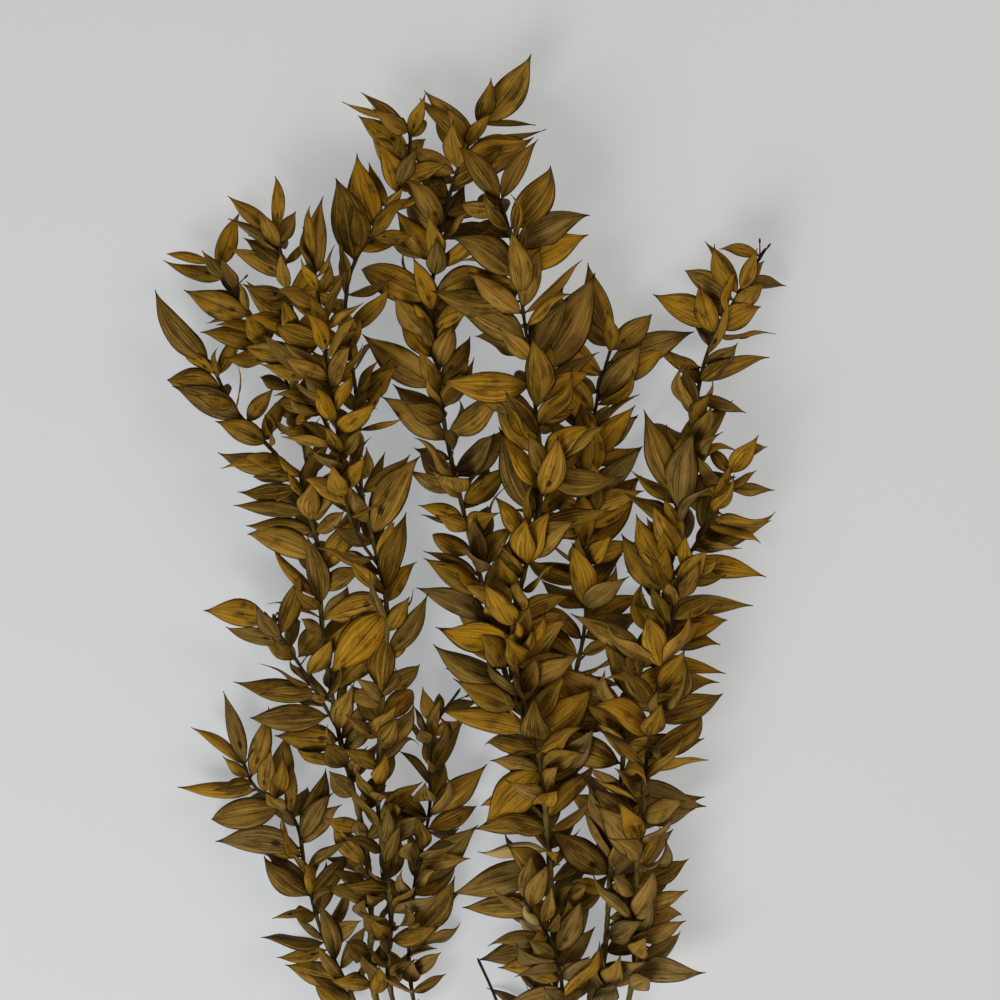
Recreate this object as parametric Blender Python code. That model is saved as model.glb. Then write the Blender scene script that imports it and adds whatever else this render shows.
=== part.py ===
# Dried ruscus stems, lying on a surface with the tips towards +Y.
# Seven cut stems. Each is one grown piece: woody axis, side branches and flat leaf-like shoots.

import math
import random

import bmesh
import bpy
from mathutils import Matrix, Vector
from mathutils.bvhtree import BVHTree

MM = 0.001
SEED = 41

# Stems: sizes in millimetres, angles in degrees
STEM_SIDES = 5
SHARP_ANGLE = 40.0
RING_STEP_BARE = 60
RING_STEP_LEAFY = 32
LAST_STEP_SHARE = 1.5
CURVE_STEP = 2.0
AXIS_STEP = 1.0
TANGENT_REACH = 3

# Leaves
LEAF_SPACING = 13.1
LEAF_WIDTH_SHARE = 0.40
LEAF_THICK = 1.3
LEAF_SECTIONS = ((0.15, 0.46, 2.0), (0.42, 1.0, LEAF_THICK), (0.76, 0.56, 1.1), (1.0, 0.0, 0.0))
ROOT_BEYOND_AXIS = 1.0
ROOT_LIFT = 0.5
STEM_ANGLE = 50.0
STEM_ANGLE_SPREAD = 20.0
AROUND_SPREAD = 52.0
ROLL_SPREAD = 38.0
TWIST_SPREAD = 18.0
ARCH_RANGE = (-50.0, 12.0)
LENGTH_RANGE = (0.76, 1.18)
WIDTH_RANGE = (0.86, 1.14)
TIP_LEAF_SHARE = 0.72
FULL_SIZE_AT = 60.0
FOOT_CLEAR = 3.5
FOOT_JITTER = 2.0
END_MARGIN = 4
EDGE_ON = 0.2

# Leaves whose outline shows: how much they may be turned, in degrees, to keep clear of the rest
SHOWN_SWING = 14.0
SWING_AFTER = 0.35
SHOWN_TILT = (12.0, 42.0)
SHOWN_ROLL = (14.0, 30.0)
SHOWN_ARCH = (-44.0, 22.0)
SHOWN_TWIST = 10.0
SHOWN_LENGTH = (1.02, 0.10)
SHOWN_WIDTH = (1.05, 0.15)

# Draws: how many a leaf gets, and how much wider and shorter the last ones are
TRIES = 46
SHOWN_TRIES = 70
LOOSER_ANGLES = 0.8
LOOSER_LEAN = 1.2
LOOSER_LENGTH = 0.22

# Clearance kept between pieces, and how far a leaf may be pressed by the surface it lies on
CLEAR = 0.45
CLEAR_SIDE = 1.6
CLEAR_TIP = 1.5
PRESS_DEPTH = 9.0
TIP_LIFT = 0.3
PRESSED_FACING = 0.75

# Routes run from the tip to the foot: x, y and height of the axis above the surface.
# A foot that names another branch is set on that branch's axis.
BRANCHES = {
    "left_low": dict(
        node="leafy_stem_left_low", foot=None, radii=(1.3, 2.1), leafy=(0.0, 246.0), leaf=44.0,
        route=((-206, 187, 27), (-197, 168, 25), (-166, 142, 23), (-157, 100, 22), (-144, 49, 18),
               (-121, 0, 14), (-68, -118, 7), (-18.3, -229, 2.15))),
    "left_thick": dict(
        node="leafy_stem_left_thick", foot=None, radii=(1.3, 3.3), leafy=(0.0, 560.0), leaf=42.0,
        route=((-234, 513, 36), (-211, 471, 38), (-170, 424, 40), (-147, 368, 40), (-143, 301, 38),
               (-131, 220, 33), (-120, 173, 28), (-108, 120, 24), (-104, 60, 18), (-102, 0, 13),
               (-57, -116, 7), (-12.0, -230, 3.35))),
    "left_upper": dict(
        node="leafy_stem_left_thick", foot="left_thick", radii=(1.3, 1.7), leafy=(0.0, 240.0), leaf=40.0,
        route=((-232, 591, 34), (-211, 566, 36), (-189, 528, 36), (-166, 480, 33), (-153, 416, 36),
               (-147, 368, 40))),
    "left_side": dict(
        node="leafy_stem_left_thick", foot="left_thick", radii=(1.3, 1.6), leafy=(8.0, 200.0), leaf=42.0,
        route=((-188, 311, 52), (-157, 263, 48), (-131, 217, 36), (-126, 200, 31))),
    "left_tall": dict(
        node="leafy_stem_left_tall", foot=None, radii=(1.3, 2.6), leafy=(0.0, 740.0), leaf=43.0,
        route=((-78, 706, 44), (-72, 684, 46), (-88, 630, 50), (-114, 594, 52), (-123, 552, 54),
               (-114, 478, 54), (-110, 406, 54), (-91, 320, 52), (-94, 242, 47), (-98, 159, 38),
               (-88, 70, 27), (-88, 0, 18), (-47, -115, 9), (-5.2, -232, 2.65))),
    "left_fork": dict(
        node="leafy_stem_left_tall", foot="left_tall", radii=(1.3, 1.7), leafy=(0.0, 240.0), leaf=40.0,
        route=((-179, 614, 66), (-170, 580, 67), (-161, 528, 67), (-150, 488, 66), (-132, 448, 62),
               (-110, 400, 54))),
    "left_fork_inner": dict(
        node="leafy_stem_left_tall", foot="left_tall", radii=(1.3, 1.6), leafy=(0.0, 220.0), leaf=42.0,
        route=((-147, 590, 84), (-136, 510, 86), (-128, 456, 84), (-118, 384, 70), (-98, 345, 53))),
    "mid_slim": dict(
        node="leafy_stem_mid_slim", foot=None, radii=(1.3, 1.9), leafy=(18.0, 285.0), leaf=42.0,
        route=((-32, 248, 26), (-55, 210, 25), (-57, 149, 23), (-70, 81, 20), (-71, 0, 15),
               (-36, -115, 7), (-0.3, -229, 1.95))),
    "centre": dict(
        node="leafy_stem_centre", foot=None, radii=(1.3, 3.0), leafy=(0.0, 752.0), leaf=52.0,
        route=((-16, 703, 40), (-33, 667, 42), (-46, 621, 44), (-54, 564, 46), (-46, 471, 48),
               (-30, 394, 48), (-6, 301, 46), (9, 247, 44), (30, 201, 40), (38, 134, 34),
               (42, 61, 27), (44, 0, 20), (25, -115, 9), (3.7, -236, 3.05))),
    "centre_front": dict(
        node="leafy_stem_centre", foot="centre", radii=(1.3, 1.9), leafy=(0.0, 430.0), leaf=54.0,
        route=((0, 638, 72), (10, 600, 76), (21, 528, 80), (28, 472, 80), (33, 408, 76), (18, 336, 68),
               (10, 296, 60), (24, 222, 42))),
    "centre_back": dict(
        node="leafy_stem_centre", foot="centre", radii=(1.3, 2.0), leafy=(0.0, 400.0), leaf=52.0,
        route=((93, 534, 24), (80, 488, 24), (73, 440, 24), (67, 352, 24), (69, 304, 24), (58, 248, 26),
               (42, 190, 32), (38, 160, 36.5))),
    "centre_low": dict(
        node="leafy_stem_centre", foot="centre", radii=(1.3, 1.8), leafy=(0.0, 130.0), leaf=48.0,
        route=((18, 84, 62), (41, 47, 56), (50, 3, 40), (46, -30, 18))),
    "centre_twig": dict(
        node="leafy_stem_centre", foot="centre", radii=(1.3, 1.5), leafy=(0.0, 0.0), leaf=0.0,
        route=((-18, 32, 36), (-4, 0, 30), (12, -46, 20), (28, -100, 10))),
    "right_long": dict(
        node="leafy_stem_right", foot=None, radii=(1.3, 2.6), leafy=(26.0, 664.0), leaf=50.0,
        route=((213, 602, 40), (188, 560, 42), (166, 518, 44), (155, 466, 46), (146, 392, 47),
               (124, 296, 46), (104, 240, 42), (97, 174, 36), (90, 112, 29), (80, 0, 18),
               (46, -115, 9), (9.7, -231, 2.65))),
    "right_side": dict(
        node="leafy_stem_right", foot="right_long", radii=(1.3, 1.6), leafy=(0.0, 120.0), leaf=46.0,
        route=((188, 436, 66), (162, 376, 62), (138, 330, 47))),
    "right_thick": dict(
        node="leafy_stem_right_thick", foot=None, radii=(1.3, 3.2), leafy=(0.0, 350.0), leaf=52.0,
        route=((140, 330, 76), (128, 270, 76), (118, 208, 70), (110, 126, 54), (104, 0, 30),
               (61, -115, 13), (16.0, -229, 3.25))),
}

# Leaves whose outline shows: foot x, y, tip x, y and width as a percentage of length
SHOWN_LEAVES = {
    "left_upper": (
        (-233, 592, -270, 598, 22), (-221, 577, -268, 588, 33), (-224, 588, -214, 628, 38),
        (-202, 547, -251, 567, 38), (-186, 522, -238, 534, 36)),
    "left_thick": (
        (-230, 510, -275, 566, 28), (-238, 516, -270, 545, 35), (-219, 490, -270, 493, 45),
        (-204, 466, -258, 490, 38), (-190, 442, -226, 462, 42), (-174, 426, -224, 435, 34),
        (-162, 410, -206, 406, 33), (-158, 388, -212, 395, 22), (-150, 375, -201, 379, 36),
        (-149, 352, -205, 373, 34), (-147, 320, -183, 361, 26), (-147, 314, -154, 368, 36),
        (-131, 206, -177, 210, 50)),
    "left_side": (
        (-186, 302, -233, 310, 42), (-173, 286, -219, 295, 28), (-173, 293, -160, 338, 36),
        (-146, 243, -206, 252, 30), (-139, 226, -202, 225, 34)),
    "left_low": (
        (-206, 186, -245, 216, 34), (-206, 187, -220, 242, 22), (-200, 176, -184, 227, 32),
        (-194, 167, -254, 170, 34), (-184, 160, -175, 208, 42), (-179, 148, -239, 139, 38),
        (-170, 145, -168, 186, 24), (-159, 118, -228, 122, 36), (-159, 132, -142, 180, 34),
        (-154, 80, -190, 110, 44), (-154, 90, -140, 118, 20), (-153, 81, -126, 112, 42),
        (-152, 66, -182, 62, 22), (-147, 40, -166, 66, 20), (-143, 34, -178, 30, 28),
        (-126, 11, -171, 22, 40), (-132, 26, -146, 76, 30)),
    "left_fork": (
        (-179, 614, -177, 657, 22), (-179, 612, -213, 638, 30), (-175, 595, -214, 622, 32),
        (-175, 604, -163, 628, 50), (-170, 575, -214, 599, 26), (-162, 536, -202, 570, 42)),
    "left_fork_inner": (
        (-146, 590, -152, 631, 20), (-142, 576, -141, 637, 34), (-146, 586, -155, 613, 40)),
    "left_tall": (
        (-118, 590, -130, 654, 46), (-98, 617, -112, 672, 42), (-77, 698, -111, 724, 22),
        (-78, 706, -124, 715, 12), (-72, 683, -114, 708, 33), (-81, 658, -103, 692, 42),
        (-103, 370, -66, 432, 38), (-93, 326, -73, 386, 34), (-96, 340, -85, 382, 44),
        (-90, 317, -70, 350, 36), (-91, 294, -73, 322, 50), (-91, 276, -61, 322, 30)),
    "mid_slim": (
        (-64, 88, -21, 134, 36), (-56, 148, -14, 183, 40), (-70, 48, -37, 91, 40),
        (-58, 127, -91, 158, 40), (-55, 204, -45, 240, 26), (-55, 176, -31, 218, 32)),
    "centre": (
        (-16, 703, 23, 752, 37), (-22, 696, -58, 726, 28), (-29, 682, -67, 719, 34),
        (-17, 702, 26, 701, 12), (-23, 689, 33, 695, 12), (-26, 675, 22, 685, 34), (-33, 656, 24, 680, 46),
        (-38, 662, -70, 682, 50), (-50, 560, -115, 590, 36), (-50, 490, -107, 530, 36),
        (-46, 446, -90, 481, 38), (-38, 418, 2, 457, 40), (-29, 384, -63, 395, 36),
        (-32, 400, -54, 424, 30), (-18, 338, -58, 358, 24), (-14, 322, -58, 352, 32),
        (-6, 305, -64, 328, 32), (-1, 280, -48, 300, 30), (4, 256, -50, 282, 36), (10, 240, -40, 262, 34),
        (16, 210, -42, 228, 34), (36, 166, -18, 153, 38), (38, 139, -18, 134, 36), (39, 106, -34, 86, 34),
        (39, 75, -29, 69, 30), (41, 40, -14, 30, 36), (27, 211, 72, 248, 48)),
    "centre_low": (
        (42, 46, 14, 65, 50), (54, 11, 4, -2, 36)),
    "centre_front": (
        (1, 636, 28, 683, 26), (-14, 640, -32, 680, 34), (10, 614, 42, 662, 42), (10, 598, 66, 625, 44),
        (10, 582, 66, 608, 40), (24, 500, 72, 576, 42), (18, 524, -33, 553, 44), (23, 490, -41, 494, 34),
        (30, 387, 4, 454, 42)),
    "centre_back": (
        (93, 530, 72, 587, 34), (90, 520, 123, 550, 42), (86, 525, 64, 548, 36), (90, 509, 152, 536, 34),
        (86, 496, 134, 523, 36)),
    "right_long": (
        (209, 595, 178, 601, 36), (190, 566, 165, 603, 40), (185, 560, 147, 585, 36),
        (171, 542, 125, 561, 40), (170, 533, 160, 570, 44), (176, 536, 208, 554, 52),
        (167, 514, 182, 558, 24), (194, 568, 210, 590, 44), (186, 554, 210, 573, 46),
        (160, 494, 214, 514, 36), (158, 482, 194, 470, 30), (154, 436, 183, 477, 34),
        (128, 310, 198, 315, 32), (122, 286, 182, 305, 34), (113, 269, 176, 262, 26),
        (104, 236, 170, 255, 38), (98, 206, 162, 208, 34), (98, 170, 160, 155, 40),
        (94, 130, 161, 158, 40), (90, 91, 141, 130, 40), (88, 56, 150, 69, 36), (86, 34, 120, 38, 30),
        (97, 188, 32, 214, 36), (102, 229, 42, 266, 40), (112, 280, 62, 306, 32), (104, 248, 83, 299, 42),
        (134, 326, 99, 370, 44), (138, 341, 110, 386, 38), (142, 355, 131, 400, 44),
        (118, 280, 138, 334, 38)),
    "right_side": (
        (163, 398, 183, 428, 30), (170, 392, 184, 414, 44), (160, 362, 176, 389, 40),
        (158, 355, 214, 380, 34), (149, 342, 208, 339, 28)),
}


def rounded(points, step):
    """Points about one step apart along a smooth curve through the given ones."""
    fine = []
    padded = [points[0] * 2 - points[1]] + points + [points[-1] * 2 - points[-2]]
    for a, b, c, d in zip(padded, padded[1:], padded[2:], padded[3:]):
        parts = max(2, round((c - b).length / CURVE_STEP))
        for i in range(parts):
            t = i / parts
            fine.append(0.5 * (2 * b + (c - a) * t + (2 * a - 5 * b + 4 * c - d) * t * t
                               + (3 * b - a - 3 * c + d) * t * t * t))
    fine.append(points[-1])
    run = [0.0]
    for a, b in zip(fine, fine[1:]):
        run.append(run[-1] + (b - a).length)
    count = max(2, round(run[-1] / step))
    result = []
    k = 0
    for i in range(count + 1):
        want = run[-1] * i / count
        while k < len(run) - 2 and run[k + 1] < want:
            k += 1
        share = (want - run[k]) / max(run[k + 1] - run[k], 1e-9)
        result.append(fine[k].lerp(fine[k + 1], share))
    return result


def axis_of(name, axes):
    """A branch's axis, tip first: points a millimetre apart on straight runs, and its ring places."""
    branch = BRANCHES[name]
    points = [Vector(p) for p in branch["route"]]
    if branch["foot"]:
        parent = axes[branch["foot"]][0]
        points[-1] = min(parent, key=lambda q: (q - points[-1]).length).copy()
    smooth = rounded(points, AXIS_STEP)
    last = len(smooth) - 1
    rings = [0]
    while rings[-1] < last:
        step = RING_STEP_LEAFY if rings[-1] < branch["leafy"][1] else RING_STEP_BARE
        rings.append(last if last - rings[-1] < LAST_STEP_SHARE * step else rings[-1] + step)
    axis = []
    for a, b in zip(rings, rings[1:]):
        axis += [smooth[a].lerp(smooth[b], i / (b - a)) for i in range(b - a)]
    return axis + [smooth[-1]], rings


def radius_at(branch, share):
    tip, foot = branch["radii"]
    return tip + (foot - tip) * share


def tangent_at(axis, k):
    """Direction of growth at a point of an axis."""
    return (axis[max(k - TANGENT_REACH, 0)] - axis[min(k + TANGENT_REACH, len(axis) - 1)]).normalized()


def frame_along(tangent):
    """Two directions across a tangent: sideways in the surface's plane, and up."""
    side = tangent.cross(Vector((0, 0, 1))).normalized()
    return side, side.cross(tangent).normalized()


def tube_mesh(axis, rings, branch):
    """Tapered stem with flat ends: corner points and faces."""
    last = len(axis) - 1
    points, faces = [], []
    for k in rings:
        tangent = tangent_at(axis, k)
        side, up = frame_along(tangent)
        radius = radius_at(branch, k / last)
        for i in range(STEM_SIDES):
            angle = math.tau * (i + 0.5) / STEM_SIDES + math.pi / 2
            points.append(axis[k] + side * (radius * math.cos(angle)) + up * (radius * math.sin(angle)))
    for r in range(len(rings) - 1):
        for i in range(STEM_SIDES):
            j = (i + 1) % STEM_SIDES
            a, b = r * STEM_SIDES + i, r * STEM_SIDES + j
            faces.append((a, a + STEM_SIDES, b + STEM_SIDES, b))
    faces.append(tuple(range(STEM_SIDES)))
    faces.append(tuple(reversed(range((len(rings) - 1) * STEM_SIDES, len(rings) * STEM_SIDES))))
    return points, faces


def blade_mesh(leaf, grow=0.0):
    """Thin pointed blade with a ridge, from a point sunk in the stem to a sharp tip.

    Each section has three corners, left, right and ridge, and both faces are split alike.
    """
    along, up = leaf["along"], leaf["up"]
    length = leaf["length"]
    half = length * LEAF_WIDTH_SHARE * leaf["wide"] / 2
    side = along.cross(up)
    at = leaf["foot"].copy()
    points = [at - along * ROOT_BEYOND_AXIS + up * ROOT_LIFT * leaf["ridge"]]
    before = 0.0
    for share, width, thick in LEAF_SECTIONS:
        bend = math.radians(leaf["arch"]) * (before + share) / 2
        at = at + (along * math.cos(bend) + up * math.sin(bend)) * (length * (share - before))
        before = share
        bend = math.radians(leaf["arch"]) * share
        turn = Matrix.Rotation(math.radians(leaf["twist"]) * share, 3, along)
        lift = turn @ (up * math.cos(bend) - along * math.sin(bend)) * leaf["ridge"]
        if width > 0:
            across = turn @ side * (half * width + grow * CLEAR_SIDE)
            points += [at - across - lift * grow, at + across - lift * grow, at + lift * (thick + grow)]
        else:
            points.append(at + along * (grow * CLEAR_TIP))
    if leaf["pressed"]:
        for left in (1, 4, 7):
            for corner in (left, left + 1):
                points[corner].z = max(points[corner].z, -grow)
            middle = (points[left].z + points[left + 1].z) / 2
            points[left + 2].z = max(points[left + 2].z, middle + LEAF_THICK + grow)
        points[10].z = max(points[10].z, TIP_LIFT - grow)
    faces = [(0, j, i) for i, j in ((1, 2), (2, 3), (3, 1))]
    for left in (1, 4):
        for i, j in ((0, 1), (1, 2), (2, 0)):
            faces.append((left + i, left + j, left + 3 + j))
            faces.append((left + i, left + 3 + j, left + 3 + i))
    faces += [(i, j, 10) for i, j in ((7, 8), (8, 9), (9, 7))]
    if leaf["ridge"] < 0:
        faces = [tuple(reversed(f)) for f in faces]
    return points, faces


def crosses_itself(points, faces):
    """Whether two faces of a blade that share no corner meet."""
    tree = BVHTree.FromPolygons(points, faces)
    return any(i < j and not set(faces[i]) & set(faces[j]) for i, j in tree.overlap(tree))


class Thicket:
    """What has been placed, with quick tests of whether a new leaf keeps clear of it."""

    def __init__(self):
        self.stems = []
        self.leaves = []

    def add_stem(self, node, points, faces):
        self.stems.append((node, BVHTree.FromPolygons(points, faces)))

    def add_leaf(self, node, points, faces):
        centre = sum(points, Vector()) / len(points)
        reach = max((p - centre).length for p in points)
        self.leaves.append((node, centre, reach, BVHTree.FromPolygons(points, faces),
                            BVHTree.FromPolygons(points, faces[3:])))

    def clear(self, node, points, faces):
        centre = sum(points, Vector()) / len(points)
        reach = max((p - centre).length for p in points)
        whole = BVHTree.FromPolygons(points, faces)
        outer = BVHTree.FromPolygons(points, faces[3:])
        for other, tree in self.stems:
            if (outer if other == node else whole).overlap(tree):
                return False
        for other, place, far, tree, tree_outer in self.leaves:
            if (place - centre).length > reach + far:
                continue
            same = other == node
            if (outer if same else whole).overlap(tree_outer if same else tree):
                return False
        return True


def bow(leaf):
    """Turns an arched leaf back by half its arch, so that its tip lies where it points."""
    half = math.radians(leaf["arch"]) / 2
    along, up = leaf["along"], leaf["up"]
    leaf["along"] = along * math.cos(half) - up * math.sin(half)
    leaf["up"] = up * math.cos(half) + along * math.sin(half)
    leaf["ridge"] = 1.0 if leaf["up"].z > 0 else -1.0
    return leaf


def aim_leaf(rng, foot, entry, loose):
    """One draw of a leaf whose tip is given in plan. loose widens the draw from 0 to 1."""
    _, _, tip_x, tip_y, wide = entry
    reach = Vector((tip_x - foot.x, tip_y - foot.y, 0))
    swing = math.radians(rng.uniform(-1, 1) * SHOWN_SWING * max(0.0, loose - SWING_AFTER))
    reach.rotate(Matrix.Rotation(swing, 3, "Z"))
    tilt = math.radians(rng.uniform(-1, 1) * (SHOWN_TILT[0] + SHOWN_TILT[1] * loose))
    flat = reach.normalized()
    along = flat * math.cos(tilt) + Vector((0, 0, math.sin(tilt)))
    up = Vector((0, 0, math.cos(tilt))) - flat * math.sin(tilt)
    roll = math.radians(rng.uniform(-1, 1) * (SHOWN_ROLL[0] + SHOWN_ROLL[1] * loose))
    up.rotate(Matrix.Rotation(roll, 3, along))
    length = reach.length / math.cos(tilt) * (SHOWN_LENGTH[0] - SHOWN_LENGTH[1] * loose)
    width = wide / 100 / LEAF_WIDTH_SHARE * (SHOWN_WIDTH[0] - SHOWN_WIDTH[1] * loose)
    return bow(dict(foot=foot, along=along, up=up, length=length, wide=width,
                    arch=rng.uniform(*SHOWN_ARCH), twist=rng.gauss(0.0, SHOWN_TWIST), ridge=1.0,
                    pressed=False))


def try_leaf(rng, foot, tangent, sign, length, loose):
    """One draw of a leaf at a spot on a stem. loose widens the draw from 0 to 1."""
    side, up = frame_along(tangent)
    wider = 1.0 + LOOSER_ANGLES * loose
    around = math.radians(rng.gauss(0.0, AROUND_SPREAD * wider))
    lean_spread = STEM_ANGLE_SPREAD * (1.0 + LOOSER_LEAN * loose)
    lean = math.radians(STEM_ANGLE + rng.uniform(-1, 1) * lean_spread)
    out = side * (sign * math.cos(around)) + up * math.sin(around)
    along = (tangent * math.cos(lean) + out * math.sin(lean)).normalized()
    facing = Vector((0, 0, 1))
    facing = (facing - along * facing.dot(along))
    if facing.length < EDGE_ON:
        facing = side - along * side.dot(along)
    facing.normalize()
    roll = math.radians(rng.gauss(0.0, ROLL_SPREAD * wider))
    facing = Matrix.Rotation(roll, 3, along) @ facing
    arch = rng.uniform(*ARCH_RANGE)
    return bow(dict(foot=foot, along=along, up=facing, length=length * rng.uniform(*LENGTH_RANGE),
                    wide=rng.uniform(*WIDTH_RANGE), arch=arch, twist=rng.gauss(0.0, TWIST_SPREAD),
                    ridge=1.0, pressed=False))


def settle(leaf):
    """Presses a leaf that dips a little under the surface. False if it dips too far."""
    points, _ = blade_mesh(leaf)
    low = min(p.z for p in points)
    if low < -PRESS_DEPTH:
        return False
    if low < TIP_LIFT:
        leaf["pressed"] = True
        if abs(leaf["up"].z) < PRESSED_FACING:
            return False
        leaf["ridge"] = 1.0
        if leaf["up"].z < 0:
            leaf["up"] = -leaf["up"]
    return True


def place(thicket, grown, name, leaf):
    """Keeps a drawn leaf if the surface and its neighbours leave it room."""
    node = BRANCHES[name]["node"]
    if not settle(leaf) or not thicket.clear(node, *blade_mesh(leaf, CLEAR)):
        return False
    points, faces = blade_mesh(leaf)
    if crosses_itself(points, faces):
        return False
    thicket.add_leaf(node, points, faces)
    grown.setdefault(name, []).append((points, faces))
    return True


def grow_shown_leaves(axes, thicket, grown, feet):
    """The leaves whose outline shows, each turned a little until it is clear of the rest."""
    missed = 0
    for name, entries in SHOWN_LEAVES.items():
        axis = axes[name][0]
        for k, entry in enumerate(entries):
            rng = random.Random(f"{SEED}:shown:{name}:{k}")
            spot = min(range(2, len(axis) - END_MARGIN),
                       key=lambda i: (axis[i].x - entry[0]) ** 2 + (axis[i].y - entry[1]) ** 2)
            if any(place(thicket, grown, name, aim_leaf(rng, axis[spot].copy(), entry, t / SHOWN_TRIES))
                   for t in range(SHOWN_TRIES)):
                feet.setdefault(name, []).append(spot)
            else:
                missed += 1
    print("shown leaves", sum(len(v) for v in grown.values()), "without room", missed)


def size_at(branch, spot):
    """Length of a leaf so many millimetres from the tip: the youngest ones are smaller."""
    return branch["leaf"] * min(1.0, TIP_LEAF_SHARE + (1.0 - TIP_LEAF_SHARE) * spot / FULL_SIZE_AT)


def grow_leaves(axes, thicket, grown, feet):
    """Alternate leaves along every branch, each turned until it is clear of the rest."""
    missed = 0
    for name, branch in BRANCHES.items():
        axis = axes[name][0]
        start, end = branch["leafy"]
        end = min(end, len(axis) - END_MARGIN)
        for k in range(int((end - start) / LEAF_SPACING)):
            rng = random.Random(f"{SEED}:{name}:{k}")
            spot = int(start + FOOT_JITTER + k * LEAF_SPACING + rng.uniform(-FOOT_JITTER, FOOT_JITTER))
            spot = max(1, min(spot, len(axis) - END_MARGIN))
            if any(abs(spot - taken) < FOOT_CLEAR for taken in feet.get(name, [])):
                continue
            size = size_at(branch, spot)
            for attempt in range(TRIES):
                loose = attempt / TRIES
                leaf = try_leaf(rng, axis[spot].copy(), tangent_at(axis, spot), 1 - 2 * (k % 2),
                                size * (1.0 - LOOSER_LENGTH * loose), loose)
                if place(thicket, grown, name, leaf):
                    break
            else:
                missed += 1
    print("leaves", sum(len(v) for v in grown.values()), "spots left bare", missed)


def make_object(name, points, faces, material, collection):
    mesh = bpy.data.meshes.new(name)
    mesh.from_pydata([p * MM for p in points], [], faces)
    work = bmesh.new()
    work.from_mesh(mesh)
    bmesh.ops.recalc_face_normals(work, faces=work.faces)
    bmesh.ops.triangulate(work, faces=work.faces)
    work.to_mesh(mesh)
    work.free()
    mesh.materials.append(material)
    thing = bpy.data.objects.new(name, mesh)
    collection.objects.link(thing)
    return thing


def drop_scraps(mesh):
    """Keeps the largest connected body of a mesh."""
    work = bmesh.new()
    work.from_mesh(mesh)
    left = set(work.verts)
    bodies = []
    while left:
        body = {left.pop()}
        edge = list(body)
        while edge:
            near = {e.other_vert(v) for v in edge for e in v.link_edges} - body
            body |= near
            edge = list(near)
        left -= body
        bodies.append(body)
    bodies.sort(key=len)
    for body in bodies[:-1]:
        print("scrap dropped, corners", len(body))
        bmesh.ops.delete(work, geom=list(body), context="VERTS")
    work.to_mesh(mesh)
    work.free()


def join_node(node, parts, shift):
    """One Boolean union of a stem with its side branches and leaves."""
    names = [name for name in BRANCHES if BRANCHES[name]["node"] == node]
    scene_collection = bpy.context.scene.collection
    pile = bpy.data.collections.new(node + "_pile")
    scene_collection.children.link(pile)
    main = make_object(node, *parts["stems"][names[0]], parts["wood"], scene_collection)
    for name in names[1:]:
        make_object(name, *parts["stems"][name], parts["wood"], pile)
    for name in names:
        for points, faces in parts["leaves"].get(name, []):
            make_object(name + "_leaf", points, faces, parts["leaf"], pile)
    union = main.modifiers.new("union", "BOOLEAN")
    union.operation = "UNION"
    union.operand_type = "COLLECTION"
    union.collection = pile
    union.solver = "MANIFOLD"
    bpy.context.view_layer.update()
    joined = bpy.data.meshes.new_from_object(main.evaluated_get(bpy.context.evaluated_depsgraph_get()))
    main.modifiers.clear()
    main.data = joined
    drop_scraps(joined)
    joined.transform(Matrix.Translation(shift))
    joined.shade_smooth()
    joined.set_sharp_from_angle(angle=math.radians(SHARP_ANGLE))
    for thing in list(pile.objects):
        bpy.data.objects.remove(thing)
    bpy.data.collections.remove(pile)
    print(node, "triangles", sum(len(f.vertices) - 2 for f in joined.polygons))
    return main


def material(name, colour, roughness):
    made = bpy.data.materials.new(name)
    made.use_nodes = True
    shader = made.node_tree.nodes["Principled BSDF"]
    shader.inputs["Base Color"].default_value = (*colour, 1.0)
    shader.inputs["Roughness"].default_value = roughness
    shader.inputs["Metallic"].default_value = 0.0
    return made


def main():
    for thing in list(bpy.data.objects):
        bpy.data.objects.remove(thing)
    axes, stems = {}, {}
    thicket = Thicket()
    for name, branch in BRANCHES.items():
        axes[name] = axis_of(name, axes)
        stems[name] = tube_mesh(*axes[name], branch)
        thicket.add_stem(branch["node"], *stems[name])
    grown, feet = {}, {}
    grow_shown_leaves(axes, thicket, grown, feet)
    grow_leaves(axes, thicket, grown, feet)
    everything = [p for points, _ in stems.values() for p in points]
    everything += [p for leaves in grown.values() for points, _ in leaves for p in points]
    low = Vector([min(p[i] for p in everything) for i in range(3)])
    high = Vector([max(p[i] for p in everything) for i in range(3)])
    shift = Vector((-(low.x + high.x) / 2, -(low.y + high.y) / 2, -low.z)) * MM
    print("box", low, high)
    parts = dict(stems=stems, leaves=grown, wood=material("dry_wood", (0.060, 0.042, 0.016), 0.72),
                 leaf=material("dry_leaf", (0.165, 0.095, 0.018), 0.55))
    for node in dict.fromkeys(branch["node"] for branch in BRANCHES.values()):
        join_node(node, parts, shift)


main()
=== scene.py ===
# %% [markdown]
# Dried ruscus stems, lying on a pale surface. This lesson grows the leaves and bark of a small bunch
# around a fixed frame of seven plain solids, and finishes them in procedural materials. The bunch lies
# down with its tips towards +Y, and the camera looks straight down on it.

# %% Load the frame
import math
import random

import bpy
import numpy as np
from mathutils import Matrix, Vector
from mathutils.bvhtree import BVHTree


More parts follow.
